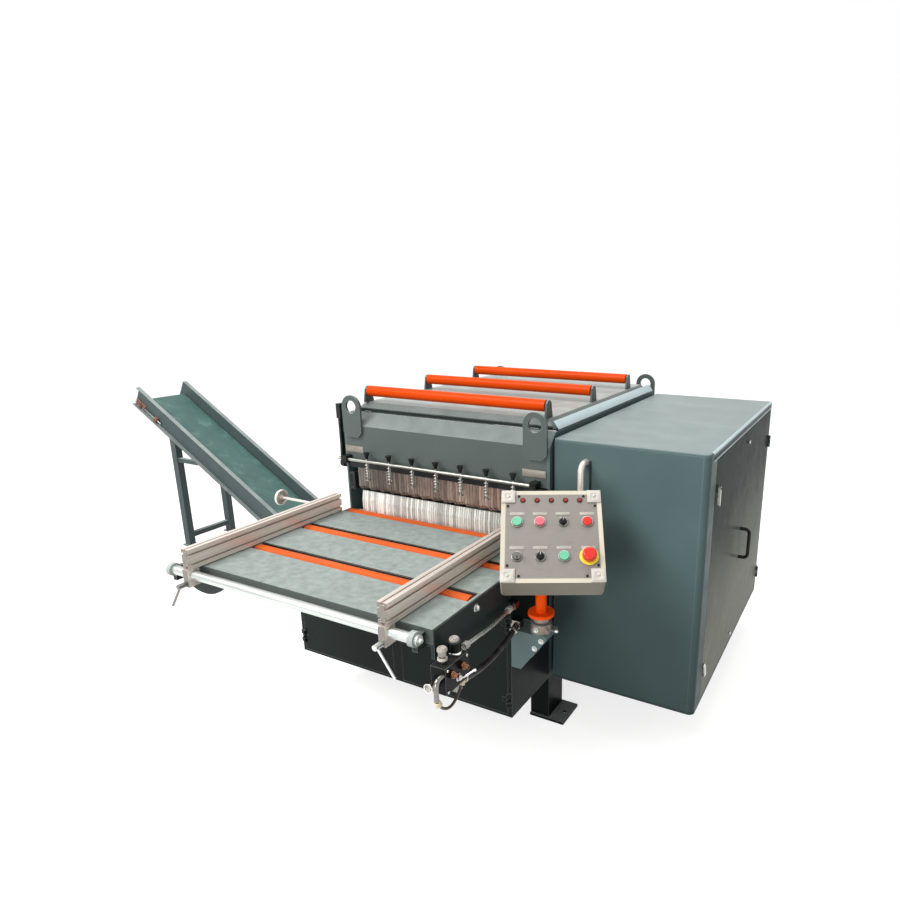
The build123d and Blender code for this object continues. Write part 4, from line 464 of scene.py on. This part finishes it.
# %% Conveyor belt
def woven_belt(name, colour):
    """Green PVC over a plain weave, worn paler in patches."""
    # The threads are about 1.5 mm apart and are drawn at 9 mm so that they show. Wear drifts over 120 mm.
    thread, wear_width, full_turn = 0.009, 0.12, 6.283
    material, tree = new_material(name)
    place = add(tree, "TexCoord").outputs["Object"]
    pitch = 1 / thread / full_turn
    warp = add(tree, "TexWave", {"Vector": place, "Scale": pitch}, bands_direction="Y").outputs[1]
    weft = add(tree, "TexWave", {"Vector": place, "Scale": pitch}, bands_direction="X").outputs[1]
    weave = add(tree, "Math", {0: warp, 1: weft}, operation="MULTIPLY").outputs[0]
    cloud = add(tree, "TexNoise", {"Vector": place, "Scale": 1 / wear_width, "Detail": 6.0,
                                   "Roughness": 0.65}).outputs[0]
    tone = add(tree, "MapRange", {"Value": cloud, "From Min": 0.3, "From Max": 0.7,
                                  "To Min": 0.78, "To Max": 1.15}).outputs[0]
    body = add(tree, "Mix", {0: 1.0, 6: linear(colour), 7: tone}, data_type="RGBA",
               blend_type="MULTIPLY").outputs[2]
    wear = add(tree, "MapRange", {"Value": cloud, "From Min": 0.55, "From Max": 0.8,
                                  "To Max": 0.45}).outputs[0]
    skin_colour = add(tree, "Mix", {0: wear, 6: body, 7: linear("86a098")}, data_type="RGBA").outputs[2]
    bump = add(tree, "Bump", {"Height": weave, "Strength": 0.25, "Distance": 0.0008}).outputs[0]
    skin = add(tree, "BsdfPrincipled", {"Base Color": skin_colour, "Roughness": 0.55, "Normal": bump})
    add(tree, "OutputMaterial", {"Surface": skin.outputs[0]})
    return material


belt_pvc = woven_belt("Green_pvc_belt", "43645f")
print("belt", belt_pvc.name)

# %% [markdown]
# ## Which finish goes where
# Each solid keeps its shape and only gets its finish, through its own material slots. The slots could be
# filled one by one, but a table shows at a glance what is made of what, and a solid that was forgotten
# is printed at the end.

# %% Give the solids their finishes
finishes = {
    teal_enamel: ["main_frame", "cabinet_shell"],
    lit_bracket_enamel: ["panel_bracket"],
    apron_enamel: ["table_frame"],
    hood_enamel: ["hood_shell", "hood_lid"],
    table_enamel: ["table_plates"],
    shaded_door_enamel: ["cabinet_door"],
    box_enamel: ["front_box", "front_door_left", "front_door_right"],
    orange_enamel: ["return_roller_front", "return_roller_middle", "return_roller_rear"],
    dusty_orange: ["infeed_roller_front", "infeed_roller_middle", "infeed_roller_rear"],
    lit_orange: ["panel_post"],
    polished_bar: ["front_bar", "clamp_lever_right"],
    rail_steel: ["spring_rail", "door_latch"],
    fence_alloy: ["fence_left", "fence_right"],
    anodised: ["bow_handle", "hand_wheel"],
    black_enamel: ["finger_lever"],
    block_enamel: ["valve_block"],
    finger_steel: ["upper_fingers", "shift_fork"],
    bright_lit_finger: ["lower_fingers"],
    zinc: ["springs"],
    fitting_steel: ["valve_fittings", "key_switch", "clamp_lever_left"],
    black_plastic: ["rail_caps", "door_handle", "selector_upper", "selector_lower"],
    saw_steel: ["saw_arbor", "moving_blade", "motor_pulley"],
    cast_enamel: ["arbor_housing", "motor"],
    belt_rubber: ["drive_belts", "hose_thin", "hose_thick", "hose_loop"],
    ivory_enamel: ["control_box"],
    panel_plate: ["control_face"],
    lamp_plastic: ["indicator_lamps"],
    green_plastic: ["button_green_upper", "button_green_lower"],
    pink_plastic: ["button_red_upper"],
    red_plastic: ["button_red_right", "emergency_stop"],
    channel_enamel: ["conveyor_frame"],
    belt_pvc: ["conveyor_belt"],
    drum_steel: ["head_drum", "tail_drum"],
}
for finish, names in finishes.items():
    for name in names:
        slots = nodes[name].material_slots
        for slot in slots:
            slot.material = finish
        if not slots:
            nodes[name].data.materials.append(finish)
for node, finish in (("hose_thin", zinc), ("hose_thick", hose_rubber), ("hose_loop", brown_hose)):
    hoses[node].data.materials.append(finish)
left_over = set(nodes) - {name for names in finishes.values() for name in names}
print("nodes with no finish:", left_over)

# %% [markdown]
# ## The studio
# A pale floor carries the shadow. The world is white to the camera and in reflections, and a soft grey
# to everything else, so the background is white with no extra light on the paint. A large lamp in front,
# to the left and above, gives the paint its shape, one above lights the tops, and a weak one in front
# opens the shadows.

# %% Floor
bpy.ops.object.select_all(action="DESELECT")
bpy.ops.mesh.primitive_plane_add(size=60.0, location=(0, 0, -0.001))
floor = bpy.context.object
floor.name = "Studio_floor"
material, tree = new_material("White_studio_floor")
path = add(tree, "LightPath").outputs
seen = add(tree, "Math", {0: path["Is Camera Ray"], 1: path["Is Glossy Ray"]}, operation="MAXIMUM")
level = add(tree, "MapRange", {"Value": seen.outputs[0], "To Min": 0.0, "To Max": 0.76})
paper = add(tree, "BsdfDiffuse", {"Color": linear("bcbcba")})
glow = add(tree, "Emission", {"Color": linear("ffffff"), "Strength": level.outputs[0]})
lift = add(tree, "AddShader", {0: paper.outputs[0], 1: glow.outputs[0]})
add(tree, "OutputMaterial", {"Surface": lift.outputs[0]})
floor.data.materials.append(material)
print("floor", floor.name)

# %% World and lamps
world = bpy.data.worlds.new("Studio_world")
bpy.context.scene.world = world
world.use_nodes = True
tree = world.node_tree
tree.nodes.clear()
path = add(tree, "LightPath").outputs
mirror = add(tree, "Math", {0: path["Is Camera Ray"], 1: path["Is Glossy Ray"]}, operation="MAXIMUM")
shown = add(tree, "Math", {0: mirror.outputs[0], 1: path["Is Transmission Ray"]}, operation="MAXIMUM")
strength = add(tree, "MapRange", {"Value": shown.outputs[0], "To Min": 0.55, "To Max": 1.0})
sky = add(tree, "Background", {"Color": linear("ffffff"), "Strength": strength.outputs[0]})
add(tree, "OutputWorld", {"Surface": sky.outputs[0]})


def soft_lamp(name, place, target, size, watts):
    """A round area lamp that looks from its place at its target."""
    lamp = bpy.data.lights.new(name, "AREA")
    lamp.shape = "DISK"
    lamp.size = size
    lamp.energy = watts
    holder = bpy.data.objects.new(name, lamp)
    bpy.context.scene.collection.objects.link(holder)
    aim = (Vector(target) - Vector(place)).to_track_quat("-Z", "Y")
    holder.matrix_world = Matrix.Translation(place) @ aim.to_matrix().to_4x4()
    return holder


soft_lamp("Key_lamp", (-3.0, -5.0, 6.5), (-0.3, -0.3, 0.7), 4.0, 520.0)
soft_lamp("Top_lamp", (0.0, 1.0, 7.0), (0.0, 0.0, 1.0), 5.0, 220.0)
soft_lamp("Fill_lamp", (0.5, -6.5, 1.6), (0.4, -0.9, 0.7), 3.0, 125.0)
bpy.context.scene.view_settings.view_transform = "Standard"
print("lamps", [lamp.name for lamp in bpy.data.lights])

# %% [markdown]
# ## Helpers for modelling
# Small pieces are modelled as by hand: a primitive at its place, faces picked by where they look,
# extruded and inset, edges rounded by a modifier. These helpers hold the steps that many pieces share,
# so that each piece below is only its sizes and its place.

# %% Picking and drawing out
def begin(name, primitive, **where):
    """Adds a primitive, bakes its place into its mesh and opens it in edit mode."""
    bpy.ops.object.select_all(action="DESELECT")
    primitive(**where)
    piece = bpy.context.object
    piece.name = name
    bpy.ops.object.transform_apply(location=True, rotation=True, scale=True)
    bpy.ops.object.mode_set(mode="EDIT")
    bpy.ops.mesh.select_mode(type="FACE")
    return piece


def pick(test, kind="faces"):
    """Selects only the faces, edges or points that pass the test."""
    bpy.ops.mesh.select_all(action="DESELECT")
    shape = bmesh.from_edit_mesh(bpy.context.object.data)
    chosen = [item for item in getattr(shape, kind) if test(item)]
    for item in chosen:
        item.select_set(True)
    shape.select_flush_mode()
    bmesh.update_edit_mesh(bpy.context.object.data)
    return len(chosen)


def looks(direction):
    """A test for faces that look along the direction."""
    sight = Vector(direction).normalized()
    return lambda face: face.normal.dot(sight) > 0.9


def extrude(distance, inset=0.0):
    """Insets the picked faces, then draws them out along their normal; a negative distance sinks them."""
    if inset:
        bpy.ops.mesh.inset(thickness=inset, depth=0.0)
    shape = bmesh.from_edit_mesh(bpy.context.object.data)
    normal = sum((f.normal for f in shape.faces if f.select), Vector()).normalized()
    bpy.ops.mesh.extrude_region_move(TRANSFORM_OT_translate={"value": normal * distance})


def pierce(margin):
    """Cuts a hole through from top to bottom that leaves this margin all round."""
    pick(lambda face: abs(face.normal.z) > 0.9)
    bpy.ops.mesh.inset(thickness=margin, depth=0.0, use_individual=True)
    bpy.ops.mesh.delete(type="FACE")
    bpy.ops.mesh.select_mode(type="EDGE")
    pick(lambda edge: edge.is_boundary, "edges")
    bpy.ops.mesh.bridge_edge_loops()
    bpy.ops.mesh.select_mode(type="FACE")
    bpy.ops.mesh.select_all(action="SELECT")
    bpy.ops.mesh.normals_make_consistent(inside=False)


print("modelling helpers ready")

# %% Finishing a piece
def done(piece, body, finish, places, bevel=0.0008):
    """Rounds the edges, copies the piece to its places as one object, and lets it ride its body."""
    sharp = math.radians(40)
    bpy.ops.object.mode_set(mode="OBJECT")
    if bevel:
        rounding = piece.modifiers.new("Rounded_edges", "BEVEL")
        rounding.width = bevel
        rounding.segments = 2
        rounding.limit_method = "ANGLE"
        rounding.angle_limit = sharp
        bpy.ops.object.modifier_apply(modifier=rounding.name)
    piece.data.materials.clear()
    piece.data.materials.append(finish)
    bpy.ops.object.shade_smooth_by_angle(angle=sharp)
    for place in places[1:]:
        twin = bpy.data.objects.new(piece.name + "_copy", piece.data.copy())
        bpy.context.scene.collection.objects.link(twin)
        twin.data.transform(place)
        twin.select_set(True)
    piece.data.transform(places[0])
    if len(places) > 1:
        bpy.ops.object.join()
    piece.data.update()
    piece.update_tag()
    bpy.context.view_layer.update()
    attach(piece, body)
    print(piece.name, "faces", len(piece.data.polygons), "on", body)
    return piece


def shift(x, y, z):
    """The place of a piece whose top looks up."""
    return Matrix.Translation((x, y, z))


def toward(direction, x, y, z):
    """The place of a piece whose top looks along the direction."""
    return shift(x, y, z) @ Vector(direction).to_track_quat("Z", "Y").to_matrix().to_4x4()


cube = bpy.ops.mesh.primitive_cube_add
cylinder = bpy.ops.mesh.primitive_cylinder_add
left, right_hand, ahead_of, behind = (-1, 0, 0), (1, 0, 0), (0, -1, 0), (0, 1, 0)
# A long strip on a wall that looks right: its length runs along Y and its height along Z.
upright = Matrix(((0, 0, 1), (1, 0, 0), (0, 1, 0))).to_4x4()
print("places can look", left, right_hand, ahead_of, behind)

# %% Common small parts
def ring(name, inner, outer, height, vertices=40):
    """A ring on its own origin: a disc with both caps inset, opened and bridged."""
    piece = begin(name, cylinder, vertices=vertices, radius=outer, depth=height, location=(0, 0, height / 2))
    pierce(outer - inner)
    return piece


def plate(name, width, height, thick, lip=0.002):
    """A plate whose middle stands a little proud of its rim."""
    piece = begin(name, cube, size=1.0, location=(0, 0, thick / 2), scale=(width, height, thick))
    pick(looks((0, 0, 1)))
    extrude(thick * 0.3, inset=lip)
    return piece


def bolt(name, size):
    """A hexagon head on its washer, with a stub of thread; size is half the width over the corners."""
    piece = begin(name, cylinder, vertices=6, radius=size, depth=0.7 * size, location=(0, 0, 0.55 * size))
    pick(looks((0, 0, 1)))
    extrude(0.12 * size, inset=0.14 * size)
    extrude(0.25 * size, inset=0.2 * size)
    cylinder(vertices=24, radius=1.35 * size, depth=0.2 * size, location=(0, 0, 0.1 * size))
    return piece


def screw(name, radius):
    """A round head with a sunk socket."""
    height = 0.8 * radius
    piece = begin(name, cylinder, vertices=20, radius=radius, depth=height, location=(0, 0, height / 2))
    pick(looks((0, 0, 1)))
    extrude(0.12 * radius, inset=0.2 * radius)
    extrude(-0.35 * radius, inset=0.35 * radius)
    return piece


def rod(name, radius, length, knob=1.0):
    """A round rod that ends in a dome, knob times as thick as the rod."""
    piece = begin(name, cylinder, vertices=20, radius=radius, depth=length, location=(0, 0, length / 2))
    pick(looks((0, 0, 1)))
    # The dome grows in steps: how far each rises, in radii, and how wide it is beside the step before.
    for rise, width in ((0.3, knob), (knob, 1.0), (0.5 * knob, 0.7), (0.25 * knob, 0.5)):
        bpy.ops.mesh.extrude_region_move(TRANSFORM_OT_translate={"value": (0, 0, rise * radius)})
        bpy.ops.transform.resize(value=(width, width, 1.0), center_override=(0, 0, 0))
    return piece


print("small parts: ring, plate, bolt, screw, rod")

# %% [markdown]
# ## The springs
# Seven compression springs press the fingers down. A spring could be a curve with a bevel, but it is
# simply a wire circle carried round and up, which is what the Screw modifier does. The wound springs
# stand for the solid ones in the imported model.

# %% Springs
wire_radius, coil_radius, coil_pitch, coil_turns, spring_count = 0.002, 0.009, 0.0131, 5, 7
rod_xs = [-0.387 + 0.129 * i for i in range(spring_count)]
spring = begin("Finger_springs", bpy.ops.mesh.primitive_circle_add, vertices=10, radius=wire_radius,
               location=(coil_radius, 0, 0), rotation=(math.pi / 2, 0, 0))
bpy.ops.object.mode_set(mode="OBJECT")
coil = spring.modifiers.new("Coil", "SCREW")
coil.steps = 20
coil.render_steps = 20
coil.iterations = coil_turns
coil.screw_offset = coil_pitch
bpy.ops.object.modifier_apply(modifier=coil.name)
bpy.ops.object.mode_set(mode="EDIT")
bpy.ops.mesh.select_all(action="SELECT")
bpy.ops.mesh.fill_holes(sides=0)
bpy.ops.mesh.select_all(action="SELECT")
bpy.ops.mesh.normals_make_consistent(inside=False)
spring = done(spring, "frame", zinc, [shift(x, -0.700, 1.009) for x in rod_xs], bevel=0)
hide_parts("springs")

# %% [markdown]
# ## The control panel's fittings
# The panel is a pale box with four white corner caps, a satin plate, steel rings round its controls and
# blank label strips. It leans back and is turned to the operator, so all of them are modelled flat on
# the panel's own frame and moved there as copies.

# %% Panel frame
yaw, tilt = math.radians(28.1), math.radians(47.9)
across = Vector((math.cos(yaw), math.sin(yaw), 0))
outward = Vector((math.sin(yaw) * math.cos(tilt), -math.cos(yaw) * math.cos(tilt), math.sin(tilt)))
upward = outward.cross(across)
panel = shift(0.704, -0.980, 1.010) @ Matrix((across, upward, outward)).transposed().to_4x4()
first, second, third, fourth = columns = (-0.124, -0.042, 0.041, 0.128)
upper, lower = rows = (0.052, -0.084)


def on_panel(spots, rise=0.0003):
    """Places on the panel, a hair above its plate unless a rise is given."""
    return [panel @ shift(x, y, rise) for x, y in spots]


print("panel faces", [round(v, 3) for v in outward])

# %% Corner caps and screws
cap_spot, screw_far, screw_near = 0.1565, 0.158, 0.118
signs = [(a, b) for a in (-1, 1) for b in (-1, 1)]
corners = [(cap_spot * a, cap_spot * b) for a, b in signs]
cap = plate("Panel_corner_caps", 0.050, 0.050, 0.005, lip=0.004)
extrude(-0.001, inset=0.010)
done(cap, "panel", white_plastic, on_panel(corners), bevel=0.0015)
cap_screw = screw("Panel_cap_screws", 0.0045)
done(cap_screw, "panel", zinc, on_panel(corners, 0.0055), bevel=0.0003)
plate_spots = [(screw_far * a, screw_near * b) for a, b in signs]
plate_spots += [(screw_near * a, screw_far * b) for a, b in signs]
plate_screw = screw("Panel_plate_screws", 0.0045)
done(plate_screw, "panel", black_plastic, on_panel(plate_spots), bevel=0.0003)

# %% Rings round the controls
lamp_pitch, lamp_y = 0.052, 0.142
buttons = [(first, upper), (second, upper), (fourth, upper), (third, lower)]
turned = [(third, upper), (first, lower), (second, lower)]
lamps = [(lamp_pitch * (i - 2), lamp_y) for i in range(5)]
button_ring = ring("Panel_button_rings", 0.0176, 0.0212, 0.005)
done(button_ring, "panel", rail_steel, on_panel(buttons), bevel=0.0006)
barrel = ring("Panel_selector_rings", 0.0136, 0.0195, 0.0035)
done(barrel, "panel", fitting_steel, on_panel(turned), bevel=0.0008)
bezel = ring("Panel_lamp_bezels", 0.0073, 0.0098, 0.003, 28)
done(bezel, "panel", black_plastic, on_panel(lamps), bevel=0.0005)
collar = ring("Stop_collar", 0.0155, 0.034, 0.0042, 48)
done(collar, "panel", yellow_plastic, on_panel([(fourth, lower)]), bevel=0.0015)

# %% Label strips and pointer marks
strip = plate("Panel_label_strips", 0.052, 0.012, 0.0008, lip=0.0012)
label_rise, mark_rise = 0.034, 0.004
strips = on_panel([(x, y + label_rise) for y in rows for x in columns])
done(strip, "panel", label_plastic, strips, bevel=0.0003)
for name, body, x, y in (("Upper_pointer_mark", "turn_upper", third, upper),
                         ("Lower_pointer_mark", "turn_lower", second, lower)):
    mark = plate(name, 0.0022, 0.011, 0.0006, lip=0.0004)
    done(mark, body, white_plastic, on_panel([(x, y + mark_rise)], 0.0221), bevel=0.0002)

# %% [markdown]
# ## The post's clamp
# Under its flange the panel's post turns in a steel clamp with a tommy bar. Two bolts hold the bracket and
# one closes the clamp. The clamp is two turned rings, and the bar is a rod with a domed knob, so the common
# small parts are enough.

# %% Post clamp
post_x, post_y = 0.649, -0.957
band = ring("Post_sleeve_band", 0.0403, 0.0430, 0.036)
done(band, "frame", drum_steel, [shift(post_x, post_y, 0.612)], bevel=0.001)
clamp_ring = ring("Post_clamp_ring", 0.0218, 0.0350, 0.020)
done(clamp_ring, "frame", drum_steel, [shift(post_x, post_y, 0.6505)], bevel=0.0015)
tommy_bar = rod("Post_tommy_bar", 0.0045, 0.060, 1.7)
done(tommy_bar, "frame", zinc,
     [toward((0.75, -0.45, 0.35), 0.684, -0.976, 0.628)], bevel=0.0006)
bracket_spots = [(0.668, -0.9953, 0.585), (0.640, -0.9953, 0.548), (post_x, -1.0003, 0.630)]
done(bolt("Bracket_bolts", 0.008), "frame", zinc,
     [toward(ahead_of, *spot) for spot in bracket_spots], bevel=0.0004)

# %% [markdown]
# ## The valve unit
# The valve unit is a block crowded with fittings: brass cartridges and a bright lever on its side, a pale
# tap and a filter bowl on top, a small pressure gauge in front, and a fitting at each end of every hose.
# Each kind is modelled once, standing up, and then turned to the face that it sits on.

# %% Cartridges, lever and screws
block_side = 0.6103
cartridge = begin("Valve_cartridges", cylinder, vertices=6, radius=0.014, depth=0.012, location=(0, 0, 0.006))
pick(looks((0, 0, 1)))
extrude(0.003, inset=0.0022)
extrude(0.012, inset=0.003)
extrude(-0.004, inset=0.0025)
done(cartridge, "frame", brass,
     [toward(right_hand, block_side, y, 0.708) for y in (-1.490, -1.432)], bevel=0.0006)
done(rod("Valve_lever", 0.0032, 0.056, 1.6), "frame", chrome,
     [toward((0.12, 0.98, -0.05), 0.624, -1.448, 0.676)], bevel=0.0004)
done(bolt("Valve_lever_nut", 0.010), "frame", zinc,
     [toward(right_hand, block_side, -1.452, 0.676)], bevel=0.0005)
done(screw("Valve_cover_screws", 0.005), "frame", zinc,
     [toward(right_hand, block_side, y, z) for y in (-1.510, -1.404) for z in (0.655, 0.729)], bevel=0.0003)

# %% Tap and bowl
top_x, tap_y, bowl_y = 0.582, -1.493, -1.427
knob = begin("Tap_knobs", cylinder, vertices=32, radius=0.0165, depth=0.008, location=(0, 0, 0.004))
pick(looks((0, 0, 1)))
extrude(0.004, inset=0.003)
extrude(-0.002, inset=0.005)
done(knob, "frame", label_plastic, [shift(top_x, tap_y, 0.7823), shift(top_x, bowl_y, 0.7843)],
     bevel=0.001)
tap_collar = ring("Tap_collar", 0.0093, 0.0160, 0.008)
done(tap_collar, "frame", white_plastic, [shift(top_x, tap_y, 0.752)], bevel=0.001)
bowl_band = ring("Bowl_band", 0.0212, 0.0236, 0.009)
done(bowl_band, "frame", chrome, [shift(top_x, bowl_y, 0.742)], bevel=0.0008)

# %% Gauge
gauge_x, gauge_z = 0.570, 0.682
gauge = toward(ahead_of, gauge_x, -1.5532, gauge_z)
gauge_bezel = ring("Gauge_bezel", 0.0132, 0.0164, 0.004, 32)
done(gauge_bezel, "frame", chrome, [gauge], bevel=0.0008)
dial = begin("Gauge_dial", cylinder, vertices=32, radius=0.0132, depth=0.001, location=(0, 0, 0.0005))
pick(looks((0, 0, 1)))
extrude(0.0006, inset=0.0095)
done(dial, "frame", white_plastic, [gauge], bevel=0.0002)
hand = plate("Gauge_needle", 0.0014, 0.010, 0.0005, lip=0.0003)
face = toward(ahead_of, gauge_x, -1.5550, gauge_z)
tick_size = Matrix.Diagonal((0.7, 0.3, 1, 1))
ticks = [face @ Matrix.Rotation(math.radians(a), 4, "Z") @ shift(0, 0.0102, 0) @ tick_size
         for a in range(-120, 121, 30)]
needle = face @ Matrix.Rotation(math.radians(40), 4, "Z") @ shift(0, 0.003, 0.0004)
done(hand, "frame", black_plastic, [needle] + ticks, bevel=0.0001)

# %% Hose fittings
def along(node, end, rise):
    """The place at a hose's end, looking along the hose into it, and risen along it."""
    points = hose_routes[node][1]
    here, there = (points[0], points[1]) if end == 0 else (points[-1], points[-2])
    return toward(Vector(there) - Vector(here), *here) @ shift(0, 0, rise)


sleeve = ring("Thin_hose_sleeves", 0.0084, 0.0125, 0.024)
done(sleeve, "frame", white_plastic,
     [along("hose_thin", end, -0.004) for end in (0, 1)], bevel=0.0012)
done(ring("Thin_port_nut", 0.0123, 0.0168, 0.012, 6), "frame", brass,
     [toward(behind, 0.566, -1.3945, 0.720)], bevel=0.0006)
clamp = ring("Thick_hose_clamps", 0.0114, 0.0136, 0.010)
cube(size=1.0, location=(0.0155, 0, 0.005), scale=(0.005, 0.012, 0.008))
done(clamp, "frame", zinc, [along("hose_thick", end, 0.004) for end in (0, 1)], bevel=0.0005)
done(ring("Loop_fittings", 0.0066, 0.0112, 0.020, 12), "frame", cream_plastic,
     [along("hose_loop", end, -0.012) for end in (0, 1)], bevel=0.0008)

# %% [markdown]
# ## Bare plates and trim on the saw's front and lid
# Under each front lifting lug a bare aluminium plate lies on the hood, and black bearing blocks stand at both
# ends of the throat. The lid has a dark strip in front that paints the shadow of the gap below it, a pale
# strip on its right that paints a highlight, and a black rubber seal that closes the gap and stands for its
# shade.
# They are thin sheet pieces, so raised plates and one pierced frame give their shapes.

# %% Hood plates and bearing blocks
hood_face = -0.6703
done(plate("Hood_end_plates", 0.108, 0.030, 0.003, lip=0.004), "frame", dull_alloy,
     [toward(ahead_of, x, hood_face, 1.131) for x in (-0.482, 0.470)], bevel=0.001)
block = begin("Throat_bearing_blocks", cube, size=1.0, location=(0, 0, 0), scale=(0.032, 0.030, 0.085))
pick(looks((0, -1, 0)))
extrude(0.003, inset=0.004)
extrude(-0.004, inset=0.006)
done(block, "frame", black_enamel, [shift(x, -0.652, 0.972) for x in (-0.5155, 0.5155)],
     bevel=0.0015)

# %% Lid trim
# A dark strip on the lid's front paints the shadow of the gap below the lid.
done(plate("Lid_front_shade_strip", 1.040, 0.017, 0.002, lip=0.003), "lid", box_enamel,
     [toward(ahead_of, 0, -0.6003, 1.3085)])
# The pale strip on the lid's sloped right side is a painted highlight.
side_highlight = plate("Lid_side_highlight_strip", 1.196, 0.040, 0.0015, lip=0.003)
leaning = Matrix.Rotation(math.radians(-36), 4, "Y")
done(side_highlight, "lid", highlight_enamel, [shift(0.5330, 0, 1.3215) @ leaning @ upright])
# The black seal closes the gap under the lid, and its black stands for the shade in that gap.
shade_seal = begin("Lid_gap_shade_seal", cube, size=1.0, location=(0, 0, 0), scale=(1.068, 1.190, 0.0048))
pierce(0.030)
done(shade_seal, "lid", belt_rubber, [shift(0, 0, 1.3011)], bevel=0.0006)

# %% [markdown]
# ## Bolts, seams and strips
# Zinc bolts with washers hold the rollers' shafts in the aprons, and short strips close the ends of the
# roller slots. The cabinet's roof overlaps its door, which leaves a dark seam; a pale rim and a thin bright
# edge on the roof are painted highlights. Small screws and a catch show on the door, and a narrow black strip
# beside the bow handle is a painted shadow of the handle.
# A seam could be cut into the sheets, but a thin dark strip over the joint looks the same from outside.

# %% Roller bolts
apron_face, bolt_z = 0.5403, 0.802
roller_ys = (-1.234, -0.967, -0.700)
done(bolt("Roller_shaft_bolts", 0.011), "frame", zinc,
     [toward(right_hand, apron_face, y, bolt_z) for y in roller_ys[:2]]
     + [toward(left, -apron_face, y, bolt_z) for y in roller_ys], bevel=0.0005)

# %% Roof seam, rim and edge
door_face, roof_y, roof_length = 1.1703, 0.028, 1.270
done(plate("Roof_seam", roof_length, 0.009, 0.0008, lip=0.001), "frame", black_plastic,
     [shift(door_face, roof_y, 1.2560) @ upright], bevel=0.0003)
half_turned = Matrix.Rotation(math.radians(-45), 4, "Y")
# The roof's pale rim and bright edge are painted highlights.
done(plate("Roof_highlight_rim", roof_length, 0.012, 0.0008, lip=0.002), "frame", highlight_enamel,
     [shift(1.1675, roof_y, 1.2775) @ half_turned @ upright], bevel=0.0003)
done(plate("Roof_highlight_edge", roof_length, 0.0045, 0.0025, lip=0.001), "frame", highlight_enamel,
     [shift(door_face, roof_y, 1.2480) @ upright], bevel=0.0006)

# %% Door screws, catch and strips
done(screw("Door_screws", 0.008), "side_door", zinc,
     [toward(right_hand, door_face, y, z) for y, z in ((0.086, 1.181), (-0.002, 0.263))], bevel=0.0005)
catch = plate("Lower_door_catch", 0.020, 0.062, 0.008, lip=0.004)
catch_place = shift(door_face, -0.522, 0.350) @ upright @ Matrix.Rotation(0.35, 4, "Z")
done(catch, "side_door", zinc, [catch_place], bevel=0.003)
# A narrow black strip beside the bow handle paints the handle's shadow.
handle_shadow = plate("Handle_shadow_strip", 0.008, 0.330, 0.003, lip=0.0015)
done(handle_shadow, "frame", black_plastic, [toward(ahead_of, 0.708, -0.6503, 1.040)], bevel=0.001)
ends = plate("Slot_end_strips", 0.0115, 0.0690, 0.0042, lip=0.001)
done(ends, "frame", table_enamel,
     [shift(x, y, 0.8324) for x in (-0.5342, 0.5342) for y in roller_ys[:2]], bevel=0.0003)

# %% [markdown]
# ## The conveyor's bearings
# Each drum's shaft runs in a flange bearing primed in red oxide, bolted inside the channel, and a long screw
# at the head tightens the belt. They lie in the hollow of the channel, so they follow its slope: each is
# placed on the drum's own frame, first its end of the conveyor and then its side.

# %% Bearings and belt tightener
near_y, far_y, bolt_reach = -0.0243, 0.3293, 0.042
slope = Matrix.Rotation(math.radians(30.7), 4, "Y")
head, tail = shift(-3.134, 0, 1.043) @ slope, shift(0.200, 0, 0.052)
near, far = toward(ahead_of, 0, near_y, 0), toward(behind, 0, far_y, 0)
hubs = [end @ side for end in (head, tail) for side in (near, far)]
flange = plate("Bearing_flanges", 0.110, 0.046, 0.007, lip=0.003)
done(flange, "frame", oxide_enamel, hubs, bevel=0.004)
housing = ring("Bearing_housings", 0.0106, 0.0215, 0.016, 32)
done(housing, "frame", oxide_enamel, hubs, bevel=0.0015)
spots = [hub @ shift(x, 0, 0.0092) for hub in hubs for x in (-bolt_reach, bolt_reach)]
done(bolt("Bearing_bolts", 0.0075), "frame", rail_steel, spots, bevel=0.0004)
take_up = rod("Belt_tightener", 0.006, 0.170, 1.0)
done(take_up, "frame", rail_steel,
     [head @ toward(right_hand, 0.062, y, 0) for y in (-0.036, 0.341)], bevel=0.0006)
done(plate("Tightener_blocks", 0.030, 0.034, 0.020, lip=0.003), "frame", oxide_enamel,
     [head @ toward(ahead_of, 0.190, near_y, 0), head @ toward(behind, 0.190, far_y, 0)], bevel=0.001)
